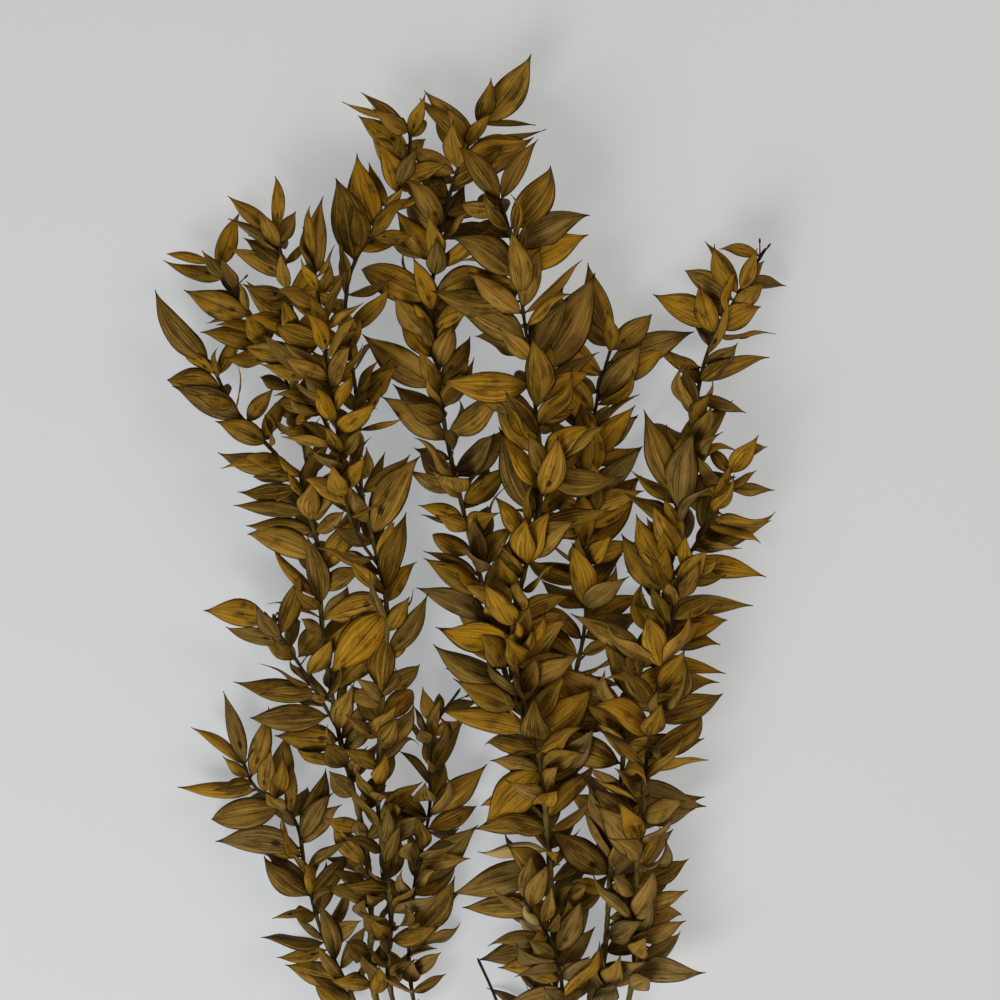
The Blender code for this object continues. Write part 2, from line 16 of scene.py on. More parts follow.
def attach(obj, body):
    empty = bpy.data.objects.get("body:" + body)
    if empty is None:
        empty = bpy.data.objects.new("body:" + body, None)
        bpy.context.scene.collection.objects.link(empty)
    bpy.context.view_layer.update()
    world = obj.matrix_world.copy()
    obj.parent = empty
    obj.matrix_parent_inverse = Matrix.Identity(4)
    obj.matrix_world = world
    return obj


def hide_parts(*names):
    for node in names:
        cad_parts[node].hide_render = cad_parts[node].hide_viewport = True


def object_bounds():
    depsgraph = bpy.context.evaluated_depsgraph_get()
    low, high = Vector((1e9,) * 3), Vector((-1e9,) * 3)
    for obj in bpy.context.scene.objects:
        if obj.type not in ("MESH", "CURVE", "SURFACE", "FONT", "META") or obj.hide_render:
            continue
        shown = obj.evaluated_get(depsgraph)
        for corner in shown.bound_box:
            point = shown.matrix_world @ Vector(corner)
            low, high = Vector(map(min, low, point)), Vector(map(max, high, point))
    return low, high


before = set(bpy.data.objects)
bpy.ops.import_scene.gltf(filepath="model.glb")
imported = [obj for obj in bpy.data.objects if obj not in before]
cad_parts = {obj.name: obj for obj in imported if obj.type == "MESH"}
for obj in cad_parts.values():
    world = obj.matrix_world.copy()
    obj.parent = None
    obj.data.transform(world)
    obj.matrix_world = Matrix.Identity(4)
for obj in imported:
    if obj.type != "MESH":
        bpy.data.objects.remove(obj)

MM = 0.001
SEED = 41
solid_low, solid_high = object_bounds()
print("frame", len(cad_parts), "nodes, size in mm", [round(v * 1000) for v in solid_high - solid_low])

# %% [markdown]
# The leaves of this plant are flattened shoots: stiff, pointed blades that sit alternately along thin
# woody stems. Scattering them with a particle system would be quick, but the result could not be joined
# to the stems or kept clear of the solids. So each leaf is drawn by a small rule with a seeded random
# generator, on routes that follow the real stems. The same rule and the same seeds made the solids, so
# the fine leaves land where the plain ones are.
#
# A stem's route is a short list of points read along the real one, with the height above the surface it
# lies on. A curve object could hold it too, but plain points are easier to share between the bark, the
# leaves and the tests below. The radius is that of the foot, leafy is the run that carries leaves, counted
# from the tip, and leaf is the length of a full-sized one. All sizes are in millimetres until the meshes
# are built, and all angles are in degrees.

# %% Routes of the stems
# Routes run from the tip to the foot: x, y and height of the axis above the surface.
# A foot that names another branch is set on that branch's axis.
BRANCHES = {
    "left_low": dict(
        node="leafy_stem_left_low", radius=2.1, leafy=(0, 246), leaf=44,
        route=((-206, 187, 27), (-197, 168, 25), (-166, 142, 23), (-157, 100, 22), (-144, 49, 18),
               (-121, 0, 14), (-68, -118, 7), (-18.3, -229, 2.15))),
    "left_thick": dict(
        node="leafy_stem_left_thick", radius=3.3, leafy=(0, 560), leaf=42,
        route=((-234, 513, 36), (-211, 471, 38), (-170, 424, 40), (-147, 368, 40), (-143, 301, 38),
               (-131, 220, 33), (-120, 173, 28), (-108, 120, 24), (-104, 60, 18), (-102, 0, 13),
               (-57, -116, 7), (-12.0, -230, 3.35))),
    "left_upper": dict(
        foot="left_thick", radius=1.7, leafy=(0, 240), leaf=40,
        route=((-232, 591, 34), (-211, 566, 36), (-189, 528, 36), (-166, 480, 33), (-153, 416, 36),
               (-147, 368, 40))),
    "left_side": dict(
        foot="left_thick", radius=1.6, leafy=(8, 200), leaf=42,
        route=((-188, 311, 52), (-157, 263, 48), (-131, 217, 36), (-126, 200, 31))),
    "left_tall": dict(
        node="leafy_stem_left_tall", radius=2.6, leafy=(0, 740), leaf=43,
        route=((-78, 706, 44), (-72, 684, 46), (-88, 630, 50), (-114, 594, 52), (-123, 552, 54),
               (-114, 478, 54), (-110, 406, 54), (-91, 320, 52), (-94, 242, 47), (-98, 159, 38),
               (-88, 70, 27), (-88, 0, 18), (-47, -115, 9), (-5.2, -232, 2.65))),
    "left_fork": dict(
        foot="left_tall", radius=1.7, leafy=(0, 240), leaf=40,
        route=((-179, 614, 66), (-170, 580, 67), (-161, 528, 67), (-150, 488, 66), (-132, 448, 62),
               (-110, 400, 54))),
    "left_fork_inner": dict(
        foot="left_tall", radius=1.6, leafy=(0, 220), leaf=42,
        route=((-147, 590, 84), (-136, 510, 86), (-128, 456, 84), (-118, 384, 70), (-98, 345, 53))),
    "mid_slim": dict(
        node="leafy_stem_mid_slim", radius=1.9, leafy=(18, 285), leaf=42,
        route=((-32, 248, 26), (-55, 210, 25), (-57, 149, 23), (-70, 81, 20), (-71, 0, 15),
               (-36, -115, 7), (-0.3, -229, 1.95))),
    "centre": dict(
        node="leafy_stem_centre", radius=3.0, leafy=(0, 752), leaf=52,
        route=((-16, 703, 40), (-33, 667, 42), (-46, 621, 44), (-54, 564, 46), (-46, 471, 48),
               (-30, 394, 48), (-6, 301, 46), (9, 247, 44), (30, 201, 40), (38, 134, 34),
               (42, 61, 27), (44, 0, 20), (25, -115, 9), (3.7, -236, 3.05))),
    "centre_front": dict(
        foot="centre", radius=1.9, leafy=(0, 430), leaf=54,
        route=((0, 638, 72), (10, 600, 76), (21, 528, 80), (28, 472, 80), (33, 408, 76), (18, 336, 68),
               (10, 296, 60), (24, 222, 42))),
    "centre_back": dict(
        foot="centre", radius=2.0, leafy=(0, 400), leaf=52,
        route=((93, 534, 24), (80, 488, 24), (73, 440, 24), (67, 352, 24), (69, 304, 24), (58, 248, 26),
               (42, 190, 32), (38, 160, 36.5))),
    "centre_low": dict(
        foot="centre", radius=1.8, leafy=(0, 130), leaf=48,
        route=((18, 84, 62), (41, 47, 56), (50, 3, 40), (46, -30, 18))),
    "centre_twig": dict(
        foot="centre", radius=1.5, leafy=(0, 0), leaf=0,
        route=((-18, 32, 36), (-4, 0, 30), (12, -46, 20), (28, -100, 10))),
    "right_long": dict(
        node="leafy_stem_right", radius=2.6, leafy=(26, 664), leaf=50,
        route=((213, 602, 40), (188, 560, 42), (166, 518, 44), (155, 466, 46), (146, 392, 47),
               (124, 296, 46), (104, 240, 42), (97, 174, 36), (90, 112, 29), (80, 0, 18),
               (46, -115, 9), (9.7, -231, 2.65))),
    "right_side": dict(
        foot="right_long", radius=1.6, leafy=(0, 120), leaf=46,
        route=((188, 436, 66), (162, 376, 62), (138, 330, 47))),
    "right_thick": dict(
        node="leafy_stem_right_thick", radius=3.2, leafy=(0, 350), leaf=52,
        route=((140, 330, 76), (128, 270, 76), (118, 208, 70), (110, 126, 54), (104, 0, 30),
               (61, -115, 13), (16.0, -229, 3.25))),
}
for facts in BRANCHES.values():
    if "foot" in facts:
        facts["node"] = BRANCHES[facts["foot"]]["node"]
print("branches", len(BRANCHES))

# %% [markdown]
# Most leaves follow the rule, but the ones that stand against the background give the bunch its outline.
# They are listed one by one with the place of their foot and of their tip, seen from above. Tracing their
# rims as curves would copy single leaves better, but foot, tip and width are enough to draw them by rule.

# %% Leaves that show in the outline
# Leaves whose outline shows: foot x, y, tip x, y and width as a percentage of length
SHOWN_LEAVES = {
    "left_upper": (
        (-233, 592, -270, 598, 22), (-221, 577, -268, 588, 33), (-224, 588, -214, 628, 38),
        (-202, 547, -251, 567, 38), (-186, 522, -238, 534, 36)),
    "left_thick": (
        (-230, 510, -275, 566, 28), (-238, 516, -270, 545, 35), (-219, 490, -270, 493, 45),
        (-204, 466, -258, 490, 38), (-190, 442, -226, 462, 42), (-174, 426, -224, 435, 34),
        (-162, 410, -206, 406, 33), (-158, 388, -212, 395, 22), (-150, 375, -201, 379, 36),
        (-149, 352, -205, 373, 34), (-147, 320, -183, 361, 26), (-147, 314, -154, 368, 36),
        (-131, 206, -177, 210, 50)),
    "left_side": (
        (-186, 302, -233, 310, 42), (-173, 286, -219, 295, 28), (-173, 293, -160, 338, 36),
        (-146, 243, -206, 252, 30), (-139, 226, -202, 225, 34)),
    "left_low": (
        (-206, 186, -245, 216, 34), (-206, 187, -220, 242, 22), (-200, 176, -184, 227, 32),
        (-194, 167, -254, 170, 34), (-184, 160, -175, 208, 42), (-179, 148, -239, 139, 38),
        (-170, 145, -168, 186, 24), (-159, 118, -228, 122, 36), (-159, 132, -142, 180, 34),
        (-154, 80, -190, 110, 44), (-154, 90, -140, 118, 20), (-153, 81, -126, 112, 42),
        (-152, 66, -182, 62, 22), (-147, 40, -166, 66, 20), (-143, 34, -178, 30, 28),
        (-126, 11, -171, 22, 40), (-132, 26, -146, 76, 30)),
    "left_fork": (
        (-179, 614, -177, 657, 22), (-179, 612, -213, 638, 30), (-175, 595, -214, 622, 32),
        (-175, 604, -163, 628, 50), (-170, 575, -214, 599, 26), (-162, 536, -202, 570, 42)),
    "left_fork_inner": (
        (-146, 590, -152, 631, 20), (-142, 576, -141, 637, 34), (-146, 586, -155, 613, 40)),
    "left_tall": (
        (-118, 590, -130, 654, 46), (-98, 617, -112, 672, 42), (-77, 698, -111, 724, 22),
        (-78, 706, -124, 715, 12), (-72, 683, -114, 708, 33), (-81, 658, -103, 692, 42),
        (-103, 370, -66, 432, 38), (-93, 326, -73, 386, 34), (-96, 340, -85, 382, 44),
        (-90, 317, -70, 350, 36), (-91, 294, -73, 322, 50), (-91, 276, -61, 322, 30)),
    "mid_slim": (
        (-64, 88, -21, 134, 36), (-56, 148, -14, 183, 40), (-70, 48, -37, 91, 40),
        (-58, 127, -91, 158, 40), (-55, 204, -45, 240, 26), (-55, 176, -31, 218, 32)),
    "centre": (
        (-16, 703, 23, 752, 37), (-22, 696, -58, 726, 28), (-29, 682, -67, 719, 34),
        (-17, 702, 26, 701, 12), (-23, 689, 33, 695, 12), (-26, 675, 22, 685, 34), (-33, 656, 24, 680, 46),
        (-38, 662, -70, 682, 50), (-50, 560, -115, 590, 36), (-50, 490, -107, 530, 36),
        (-46, 446, -90, 481, 38), (-38, 418, 2, 457, 40), (-29, 384, -63, 395, 36),
        (-32, 400, -54, 424, 30), (-18, 338, -58, 358, 24), (-14, 322, -58, 352, 32),
        (-6, 305, -64, 328, 32), (-1, 280, -48, 300, 30), (4, 256, -50, 282, 36), (10, 240, -40, 262, 34),
        (16, 210, -42, 228, 34), (36, 166, -18, 153, 38), (38, 139, -18, 134, 36), (39, 106, -34, 86, 34),
        (39, 75, -29, 69, 30), (41, 40, -14, 30, 36), (27, 211, 72, 248, 48)),
    "centre_low": (
        (42, 46, 14, 65, 50), (54, 11, 4, -2, 36)),
    "centre_front": (
        (1, 636, 28, 683, 26), (-14, 640, -32, 680, 34), (10, 614, 42, 662, 42), (10, 598, 66, 625, 44),
        (10, 582, 66, 608, 40), (24, 500, 72, 576, 42), (18, 524, -33, 553, 44), (23, 490, -41, 494, 34),
        (30, 387, 4, 454, 42)),
    "centre_back": (
        (93, 530, 72, 587, 34), (90, 520, 123, 550, 42), (86, 525, 64, 548, 36), (90, 509, 152, 536, 34),
        (86, 496, 134, 523, 36)),
    "right_long": (
        (209, 595, 178, 601, 36), (190, 566, 165, 603, 40), (185, 560, 147, 585, 36),
        (171, 542, 125, 561, 40), (170, 533, 160, 570, 44), (176, 536, 208, 554, 52),
        (167, 514, 182, 558, 24), (194, 568, 210, 590, 44), (186, 554, 210, 573, 46),
        (160, 494, 214, 514, 36), (158, 482, 194, 470, 30), (154, 436, 183, 477, 34),
        (128, 310, 198, 315, 32), (122, 286, 182, 305, 34), (113, 269, 176, 262, 26),
        (104, 236, 170, 255, 38), (98, 206, 162, 208, 34), (98, 170, 160, 155, 40),
        (94, 130, 161, 158, 40), (90, 91, 141, 130, 40), (88, 56, 150, 69, 36), (86, 34, 120, 38, 30),
        (97, 188, 32, 214, 36), (102, 229, 42, 266, 40), (112, 280, 62, 306, 32), (104, 248, 83, 299, 42),
        (134, 326, 99, 370, 44), (138, 341, 110, 386, 38), (142, 355, 131, 400, 44),
        (118, 280, 138, 334, 38)),
    "right_side": (
        (163, 398, 183, 428, 30), (170, 392, 184, 414, 44), (160, 362, 176, 389, 40),
        (158, 355, 214, 380, 34), (149, 342, 208, 339, 28)),
}
print("leaves in the outline", sum(len(entries) for entries in SHOWN_LEAVES.values()))

# %% [markdown]
# A smooth curve runs through each route's points. A Bezier curve could do the same, but its handles would
# have to be set by hand, while this sum needs only the points themselves.

# %% Smooth curves
CURVE_STEP = 2.0
TINY = 1e-9


def rounded(points, step):
    """Points about one step apart along a smooth curve through the given ones."""
    fine = []
    padded = [points[0] * 2 - points[1]] + points + [points[-1] * 2 - points[-2]]
    for a, b, c, d in zip(padded, padded[1:], padded[2:], padded[3:]):
        parts = max(2, round((c - b).length / CURVE_STEP))
        for i in range(parts):
            t = i / parts
            fine.append(0.5 * (2 * b + (c - a) * t + (2 * a - 5 * b + 4 * c - d) * t * t
                               + (3 * b - a - 3 * c + d) * t * t * t))
    fine.append(points[-1])
    run = [0.0]
    for a, b in zip(fine, fine[1:]):
        run.append(run[-1] + (b - a).length)
    count = max(2, round(run[-1] / step))
    result = []
    k = 0
    for i in range(count + 1):
        want = run[-1] * i / count
        while k < len(run) - 2 and run[k + 1] < want:
            k += 1
        share = (want - run[k]) / max(run[k + 1] - run[k], TINY)
        result.append(fine[k].lerp(fine[k + 1], share))
    return result


print("10 mm make", len(rounded([Vector((0, 0, 0)), Vector((10, 0, 0))], 1.0)), "points 1 mm apart")

# %% [markdown]
# The plain solids use straight runs of the curve, and the bark uses every millimetre. The straight axis
# tells where the leaves stand, so that they stand where the solids have theirs.

# %% Axes of the branches
AXIS_STEP = 1.0
RING_STEP_BARE = 60
RING_STEP_LEAFY = 32
LAST_STEP_SHARE = 1.5


def axis_of(name):
    """A branch's axis, tip first: points a millimetre apart on straight runs, and its ring places."""
    branch = BRANCHES[name]
    points = [Vector(p) for p in branch["route"]]
    if "foot" in branch:
        parent = axes[branch["foot"]][0]
        points[-1] = min(parent, key=lambda q: (q - points[-1]).length).copy()
    smooth = rounded(points, AXIS_STEP)
    last = len(smooth) - 1
    rings = [0]
    while rings[-1] < last:
        step = RING_STEP_LEAFY if rings[-1] < branch["leafy"][1] else RING_STEP_BARE
        rings.append(last if last - rings[-1] < LAST_STEP_SHARE * step else rings[-1] + step)
    axis = []
    for a, b in zip(rings, rings[1:]):
        axis += [smooth[a].lerp(smooth[b], i / (b - a)) for i in range(b - a)]
    return axis + [smooth[-1]], rings


axes, fine_axes = {}, {}
for branch_name, facts in BRANCHES.items():
    axes[branch_name] = axis_of(branch_name)
    guide = [Vector(p) for p in facts["route"][:-1]] + [axes[branch_name][0][-1].copy()]
    fine_axes[branch_name] = rounded(guide, AXIS_STEP)
print("longest axis", max(len(smooth) for smooth in fine_axes.values()) - 1, "mm")

# %% [markdown]
# A plain stem is a tapered tube with five sides. It isn't shown, but the leaves have to keep clear of it,
# and it tells below where the frame put the bunch.

# %% Plain stems
STEM_SIDES = 5
TIP_RADIUS = 1.3
TANGENT_REACH = 3


def radius_at(branch, share):
    return TIP_RADIUS + (branch["radius"] - TIP_RADIUS) * share


def tangent_at(axis, k):
    """Direction of growth at a point of an axis."""
    return (axis[max(k - TANGENT_REACH, 0)] - axis[min(k + TANGENT_REACH, len(axis) - 1)]).normalized()


def frame_along(tangent):
    """Two directions across a tangent: sideways in the surface's plane, and up."""
    side = tangent.cross(Vector((0, 0, 1))).normalized()
    return side, side.cross(tangent).normalized()


def tube_faces(rings, sides):
    """Faces of a closed tube, its rings of corners counted from the tip to the foot."""
    faces = []
    for r in range(rings - 1):
        for i in range(sides):
            a, b = r * sides + i, r * sides + (i + 1) % sides
            faces.append((a, a + sides, b + sides, b))
    last = (rings - 1) * sides
    return faces + [tuple(range(sides)), tuple(reversed(range(last, last + sides)))]


def tube_mesh(axis, rings, branch):
    """Tapered stem with flat ends: corner points and faces."""
    points = []
    for k in rings:
        side, up = frame_along(tangent_at(axis, k))
        radius = radius_at(branch, k / (len(axis) - 1))
        for i in range(STEM_SIDES):
            angle = math.tau * (i + 0.5) / STEM_SIDES + math.pi / 2
            points.append(axis[k] + side * (radius * math.cos(angle)) + up * (radius * math.sin(angle)))
    return points, tube_faces(len(rings), STEM_SIDES)


stems = {name: tube_mesh(*axes[name], branch) for name, branch in BRANCHES.items()}
print("plain stems", len(stems), "corners", sum(len(points) for points, _ in stems.values()))

# %% [markdown]
# The plain blade is the shape that the tests use: three corners a section, from a point inside the stem to
# a sharp tip. It is never shown. It stands in for the fine leaf while a free place is looked for, because
# testing eighteen triangles against the neighbours takes no time.

# %% The plain blade
LEAF_WIDTH_SHARE = 0.40
LEAF_THICK = 1.3
# Sections: share of the length, share of the width, thickness
LEAF_SECTIONS = ((0.15, 0.46, 2.0), (0.42, 1.0, LEAF_THICK), (0.76, 0.56, 1.1), (1.0, 0.0, 0.0))
ROOT_BEYOND_AXIS = 1.0
ROOT_LIFT = 0.5
CLEAR_SIDE = 1.6
CLEAR_TIP = 1.5
TIP_LIFT = 0.3
# Corner numbers of a blade: the first one of each section, and the tip
SECTION_STARTS = (1, 4, 7)
TIP = 10


def blade_mesh(leaf, grow=0.0):
    """Thin pointed blade with a ridge, from a point sunk in the stem to a sharp tip.

    Each section has three corners, left, right and ridge, and both faces are split alike.
    """
    along, up = leaf["along"], leaf["up"]
    length = leaf["length"]
    half = length * LEAF_WIDTH_SHARE * leaf["wide"] / 2
    side = along.cross(up)
    at = leaf["foot"].copy()
    points = [at - along * ROOT_BEYOND_AXIS + up * ROOT_LIFT * leaf["ridge"]]
    before = 0.0
    for share, width, thick in LEAF_SECTIONS:
        bend = math.radians(leaf["arch"]) * (before + share) / 2
        at = at + (along * math.cos(bend) + up * math.sin(bend)) * (length * (share - before))
        before = share
        bend = math.radians(leaf["arch"]) * share
        turn = Matrix.Rotation(math.radians(leaf["twist"]) * share, 3, along)
        lift = turn @ (up * math.cos(bend) - along * math.sin(bend)) * leaf["ridge"]
        if width > 0:
            across = turn @ side * (half * width + grow * CLEAR_SIDE)
            points += [at - across - lift * grow, at + across - lift * grow, at + lift * (thick + grow)]
        else:
            points.append(at + along * (grow * CLEAR_TIP))
    if leaf["pressed"]:
        for left in SECTION_STARTS:
            for corner in (left, left + 1):
                points[corner].z = max(points[corner].z, -grow)
            middle = (points[left].z + points[left + 1].z) / 2
            points[left + 2].z = max(points[left + 2].z, middle + LEAF_THICK + grow)
        points[TIP].z = max(points[TIP].z, TIP_LIFT - grow)
    faces = [(0, j, i) for i, j in ((1, 2), (2, 3), (3, 1))]
    for left in SECTION_STARTS[:2]:
        for i, j in ((0, 1), (1, 2), (2, 0)):
            faces.append((left + i, left + j, left + 3 + j))
            faces.append((left + i, left + 3 + j, left + 3 + i))
    faces += [(i, j, TIP) for i, j in ((7, 8), (8, 9), (9, 7))]
    if leaf["ridge"] < 0:
        faces = [tuple(reversed(f)) for f in faces]
    return points, faces


def crosses_itself(points, faces):
    """Whether two faces of a blade that share no corner meet."""
    tree = BVHTree.FromPolygons(points, faces)
    return any(i < j and not set(faces[i]) & set(faces[j]) for i, j in tree.overlap(tree))


print("sections of the plain blade", len(LEAF_SECTIONS))

# %% [markdown]
# Leaves of one stem may touch at the foot only, and leaves of different stems not at all. The thicket
# remembers what is in place and answers whether a new blade crosses anything, with a bounding volume tree
# for each leaf. Simulating the crowding would be slower and would not give the same result as the solids.

# %% The thicket
class Thicket:
    """What has been placed, with quick tests of whether a new leaf keeps clear of it."""

    def __init__(self):
        self.stems = []
        self.leaves = []

    def add_stem(self, node, points, faces):
        self.stems.append((node, BVHTree.FromPolygons(points, faces)))

    def measure(self, points, faces):
        """Centre and reach of a blade, its tree, and its tree without the faces at the foot."""
        centre = sum(points, Vector()) / len(points)
        return (centre, max((p - centre).length for p in points), BVHTree.FromPolygons(points, faces),
                BVHTree.FromPolygons(points, faces[3:]))

    def add_leaf(self, node, points, faces):
        self.leaves.append((node, *self.measure(points, faces)))

    def clear(self, node, points, faces):
        centre, reach, whole, outer = self.measure(points, faces)
        for other, tree in self.stems:
            if (outer if other == node else whole).overlap(tree):
                return False
        for other, middle, far, tree, tree_outer in self.leaves:
            if (middle - centre).length > reach + far:
                continue
            same = other == node
            if (outer if same else whole).overlap(tree_outer if same else tree):
                return False
        return True


thicket = Thicket()
for branch_name, facts in BRANCHES.items():
    thicket.add_stem(facts["node"], *stems[branch_name])
print("the thicket holds", len(thicket.stems), "stems")

# %% [markdown]
# A listed leaf is turned a little more freely with each draw, and its tip stays near the place that was
# read for it. The blade is turned back by half its arch, so that the bend doesn't move the tip.

# %% Drawing a leaf with a known tip
# Swing in degrees, and the share of the draws before it sets in
SHOWN_SWING = 14.0
SWING_AFTER = 0.35
# Each pair: the value of the first draws, and how much the last ones add or take away
SHOWN_TILT = (12.0, 42.0)
SHOWN_ROLL = (14.0, 30.0)
SHOWN_LENGTH = (1.02, 0.10)
SHOWN_WIDTH = (1.05, 0.15)
# Range of the arch, and spread of the twist
SHOWN_ARCH = (-44.0, 22.0)
SHOWN_TWIST = 10.0


def bow(foot, along, up, length, wide, arch, twist):
    """A leaf, turned back by half its arch, so that its tip lies where it points."""
    half = math.radians(arch) / 2
    bowed = up * math.cos(half) + along * math.sin(half)
    return dict(foot=foot, along=along * math.cos(half) - up * math.sin(half), up=bowed, length=length,
                wide=wide, arch=arch, twist=twist, ridge=1.0 if bowed.z > 0 else -1.0, pressed=False)


def aim_leaf(rng, foot, entry, loose):
    """One draw of a leaf whose tip is given in plan. loose widens the draw from 0 to 1."""
    _, _, tip_x, tip_y, wide = entry
    reach = Vector((tip_x - foot.x, tip_y - foot.y, 0))
    swing = math.radians(rng.uniform(-1, 1) * SHOWN_SWING * max(0.0, loose - SWING_AFTER))
    reach.rotate(Matrix.Rotation(swing, 3, "Z"))
    tilt = math.radians(rng.uniform(-1, 1) * (SHOWN_TILT[0] + SHOWN_TILT[1] * loose))
    flat = reach.normalized()
    along = flat * math.cos(tilt) + Vector((0, 0, math.sin(tilt)))
    up = Vector((0, 0, math.cos(tilt))) - flat * math.sin(tilt)
    roll = math.radians(rng.uniform(-1, 1) * (SHOWN_ROLL[0] + SHOWN_ROLL[1] * loose))
    up.rotate(Matrix.Rotation(roll, 3, along))
    length = reach.length / math.cos(tilt) * (SHOWN_LENGTH[0] - SHOWN_LENGTH[1] * loose)
    width = wide / 100 / LEAF_WIDTH_SHARE * (SHOWN_WIDTH[0] - SHOWN_WIDTH[1] * loose)
    return bow(foot, along, up, length, width, rng.uniform(*SHOWN_ARCH), rng.gauss(0.0, SHOWN_TWIST))


sample = aim_leaf(random.Random(SEED), Vector((0, 0, 30)), (0, 0, 40, 0, 40), 0.0)
print("a tip 40 mm away makes a leaf of", round(sample["length"], 1), "mm")

# %% [markdown]
# A leaf that would dip into the surface is pressed flat against it, as the weight of the stems would do.
# One that dips too far, or crosses a neighbour, is drawn again. Moving leaves apart afterwards would pull
# them off their stems.

# %% Keeping a leaf
CLEAR = 0.45
PRESS_DEPTH = 9.0
PRESSED_FACING = 0.75
grown = {}


def settle(leaf):
    """Presses a leaf that dips a little under the surface. False if it dips too far."""
    points, _ = blade_mesh(leaf)
    lowest = min(p.z for p in points)
    if lowest < -PRESS_DEPTH:
        return False
    if lowest < TIP_LIFT:
        leaf["pressed"] = True
        if abs(leaf["up"].z) < PRESSED_FACING:
            return False
        leaf["ridge"] = 1.0
        if leaf["up"].z < 0:
            leaf["up"] = -leaf["up"]
    return True


def place(name, leaf):
    """Keeps a drawn leaf if the surface and its neighbours leave it room."""
    node = BRANCHES[name]["node"]
    if not settle(leaf) or not thicket.clear(node, *blade_mesh(leaf, CLEAR)):
        return False
    points, faces = blade_mesh(leaf)
    if crosses_itself(points, faces):
        return False
    thicket.add_leaf(node, points, faces)
    grown.setdefault(name, []).append(leaf)
    return True


def leaves_so_far():
    return sum(len(leaves) for leaves in grown.values())


print("room kept between leaves of different stems", CLEAR, "mm")

# %% [markdown]
# The listed leaves come first, because their place is known. Each leaf has a random generator of its own,
# so one leaf that needs more draws doesn't change the next.

# %% Grow the listed leaves
SHOWN_TRIES = 70
# Points of an axis that carry no leaf, at its tip and at its foot
TIP_MARGIN, END_MARGIN = 2, 4
feet = {}


def grow_listed(label, table, tries, fits):
    """Leaves listed by foot and tip, each turned a little until it is clear of the rest."""
    missed = 0
    for name, entries in table.items():
        axis = axes[name][0]
        for k, entry in enumerate(entries):
            rng = random.Random(f"{SEED}:{label}:{name}:{k}")
            spot = min(range(TIP_MARGIN, len(axis) - END_MARGIN),
                       key=lambda i: (axis[i].x - entry[0]) ** 2 + (axis[i].y - entry[1]) ** 2)
            draws = (aim_leaf(rng, axis[spot].copy(), entry, t / tries) for t in range(tries))
            if any(fits(leaf) and place(name, leaf) for leaf in draws):
                feet.setdefault(name, []).append(spot)
            else:
                missed += 1
    print(label, "leaves, without room", missed, "in all", leaves_so_far())


grow_listed("shown", SHOWN_LEAVES, SHOWN_TRIES, lambda leaf: True)

# %% [markdown]
# The rule sets alternate leaves along every branch and leaves out the spots that are taken. Each draw
# turns a leaf a little more freely than the one before, until it fits. The first draws look towards the
# camera, as the flat leaves mostly do.

# %% Drawing a leaf by the rule
STEM_ANGLE, STEM_ANGLE_SPREAD = 50.0, 20.0
AROUND_SPREAD, ROLL_SPREAD, TWIST_SPREAD = 52.0, 38.0, 18.0
ARCH_RANGE = (-50.0, 12.0)
LENGTH_RANGE = (0.76, 1.18)
WIDTH_RANGE = (0.86, 1.14)
EDGE_ON = 0.2
# How much wider and shorter the last draws are
LOOSER_ANGLES = 0.8
LOOSER_LEAN = 1.2
LOOSER_LENGTH = 0.22


def try_leaf(rng, foot, tangent, sign, length, loose):
    """One draw of a leaf at a spot on a stem. loose widens the draw from 0 to 1."""
    side, up = frame_along(tangent)
    wider = 1.0 + LOOSER_ANGLES * loose
    around = math.radians(rng.gauss(0.0, AROUND_SPREAD * wider))
    lean_spread = STEM_ANGLE_SPREAD * (1.0 + LOOSER_LEAN * loose)
    lean = math.radians(STEM_ANGLE + rng.uniform(-1, 1) * lean_spread)
    out = side * (sign * math.cos(around)) + up * math.sin(around)
    along = (tangent * math.cos(lean) + out * math.sin(lean)).normalized()
    facing = Vector((0, 0, 1))
    facing = facing - along * facing.dot(along)
    if facing.length < EDGE_ON:
        facing = side - along * side.dot(along)
    facing.normalize()
    facing = Matrix.Rotation(math.radians(rng.gauss(0.0, ROLL_SPREAD * wider)), 3, along) @ facing
    arch = rng.uniform(*ARCH_RANGE)
    return bow(foot, along, facing, length * rng.uniform(*LENGTH_RANGE), rng.uniform(*WIDTH_RANGE), arch,
               rng.gauss(0.0, TWIST_SPREAD))


print("leaves lean from their stem by", STEM_ANGLE, "degrees, give or take", STEM_ANGLE_SPREAD)

# %% [markdown]
# The leaves stand about 13 mm apart, on the two sides of a branch in turn. The youngest ones at the tip are
# smaller. A spot where no draw fits would stay bare.

# %% Grow the leaves of the rule
TRIES = 46
LEAF_SPACING = 13.1
FOOT_CLEAR = 3.5
FOOT_JITTER = 2.0
TIP_LEAF_SHARE = 0.72
FULL_SIZE_AT = 60.0


def size_at(branch, spot):
    """Length of a leaf so many millimetres from the tip: the youngest ones are smaller."""
    return branch["leaf"] * min(1.0, TIP_LEAF_SHARE + (1.0 - TIP_LEAF_SHARE) * spot / FULL_SIZE_AT)


def spots_along(name, spacing, shift, jitter, label):
    """Places for leaves along a branch: their number, their own random generator and where they are."""
    start, end = BRANCHES[name]["leafy"]
    furthest = len(axes[name][0]) - END_MARGIN
    for k in range(int((min(end, furthest) - start) / spacing)):
        rng = random.Random(f"{SEED}:{label}{name}:{k}")
        yield k, rng, max(1, min(int(start + shift + k * spacing + rng.uniform(-jitter, jitter)), furthest))


